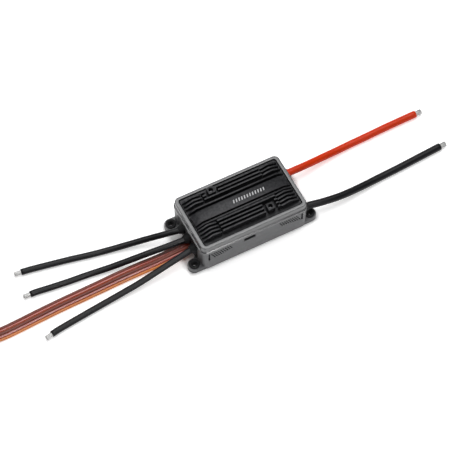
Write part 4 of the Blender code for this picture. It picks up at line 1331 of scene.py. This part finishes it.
class ESC_OT_internals(bpy.types.Operator):
    """Make the case screws and give the boards and what they carry their finishes"""
    bl_idname = "speed_controller.internals"
    bl_label = "Finish Internals"

    def execute(self, context):
        steel = finish("black zinc steel", (0.24, 0.24, 0.25), (0.3, 0.42), grain=4000.0,
                       bump=0.15, mottle=0.1, metallic=1.0, wear_and_highlight=0.5,
                       wear_and_highlight_colour=(0.5, 0.5, 0.5))
        for i, (x, y) in enumerate(BOSSES, 1):
            to_object(f"cap_screw_{i}", screw_mesh(x, y), steel, "screw_steel",
                      (f"case_screw_{i}",))
        finishes = {
            "board_laminate": finish("green board laminate", (0.01, 0.07, 0.03), (0.3, 0.42),
                                     bump=0.3, pattern=copper_tracks, Coat_Weight=0.3),
            "chip_epoxy": finish("moulded chip epoxy", (0.02, 0.02, 0.021), (0.5, 0.65),
                                 grain=6000.0, bump=0.3, mottle=0.2),
            "capacitor_can": finish("bright capacitor can", (0.72, 0.72, 0.73), (0.22, 0.34),
                                    bump=0.12, metallic=1.0, streaks=("object", 3000.0, 200.0)),
            "ferrite": finish("sintered ferrite", (0.05, 0.05, 0.055), (0.5, 0.7), grain=3500.0,
                              bump=0.5, mottle=0.25),
            "shunt_alloy": finish("shunt alloy", (0.45, 0.38, 0.3), (0.3, 0.42), metallic=1.0,
                                  streaks=("object", 200.0, 4000.0)),
            "header_plastic": finish("header nylon", (0.015, 0.015, 0.015), (0.42, 0.55)),
            "lamp_lens": finish("lamp lens", (0.7, 0.75, 0.7), (0.15, 0.25), bump=0.05,
                                mottle=0.04, Coat_Weight=0.4),
            "thermal_pad": finish("thermal pad", (0.3, 0.35, 0.45), (0.75, 0.9), grain=2500.0,
                                  bump=0.4, mottle=0.12),
        }
        for part in frame["record"]["subparts"]:
            node = frame["nodes"][part["node"]]
            if node.hide_render:
                continue
            mat = finishes[part["material_slot"]]
            if not node.material_slots:
                raise RuntimeError(f"{part['node']} has no material slot")
            for slot in node.material_slots:
                slot.material = mat
        return {"FINISHED"}


# ---- panel and registration

STEPS = ("stage", "power_leads", "signal_leads", "tray", "bezel", "heat_sink", "seals",
         "grommets", "internals")
SETTINGS = {"speed_controller_case": CaseSettings, "speed_controller_sink": SinkSettings,
            "speed_controller_leads": LeadSettings, "speed_controller_stage": StageSettings}


class ESC_PT_panel(bpy.types.Panel):
    """Sizes, colours and the steps that build the speed controller"""
    bl_idname = "ESC_PT_panel"
    bl_label = "Speed Controller"
    bl_space_type = "VIEW_3D"
    bl_region_type = "UI"
    bl_category = "Speed Controller"

    def draw(self, context):
        layout = self.layout
        for name, kind in SETTINGS.items():
            column = layout.box().column()
            for key in kind.__annotations__:
                column.prop(getattr(context.scene, name), key)
        for step in STEPS:
            layout.operator(f"speed_controller.{step}")


CLASSES = (
    *SETTINGS.values(), ESC_OT_stage, ESC_OT_power_leads, ESC_OT_signal_leads, ESC_OT_tray,
    ESC_OT_bezel, ESC_OT_heat_sink, ESC_OT_seals, ESC_OT_grommets, ESC_OT_internals, ESC_PT_panel,
)


def register():
    for cls in CLASSES:
        bpy.utils.register_class(cls)
    for name, kind in SETTINGS.items():
        setattr(bpy.types.Scene, name, PointerProperty(type=kind))


def unregister():
    for name in SETTINGS:
        delattr(bpy.types.Scene, name)
    for cls in reversed(CLASSES):
        bpy.utils.unregister_class(cls)


def main():
    register()
    for step in STEPS:
        getattr(bpy.ops.speed_controller, step)()
    bpy.context.view_layer.update()


if __name__ == "__main__":
    main()
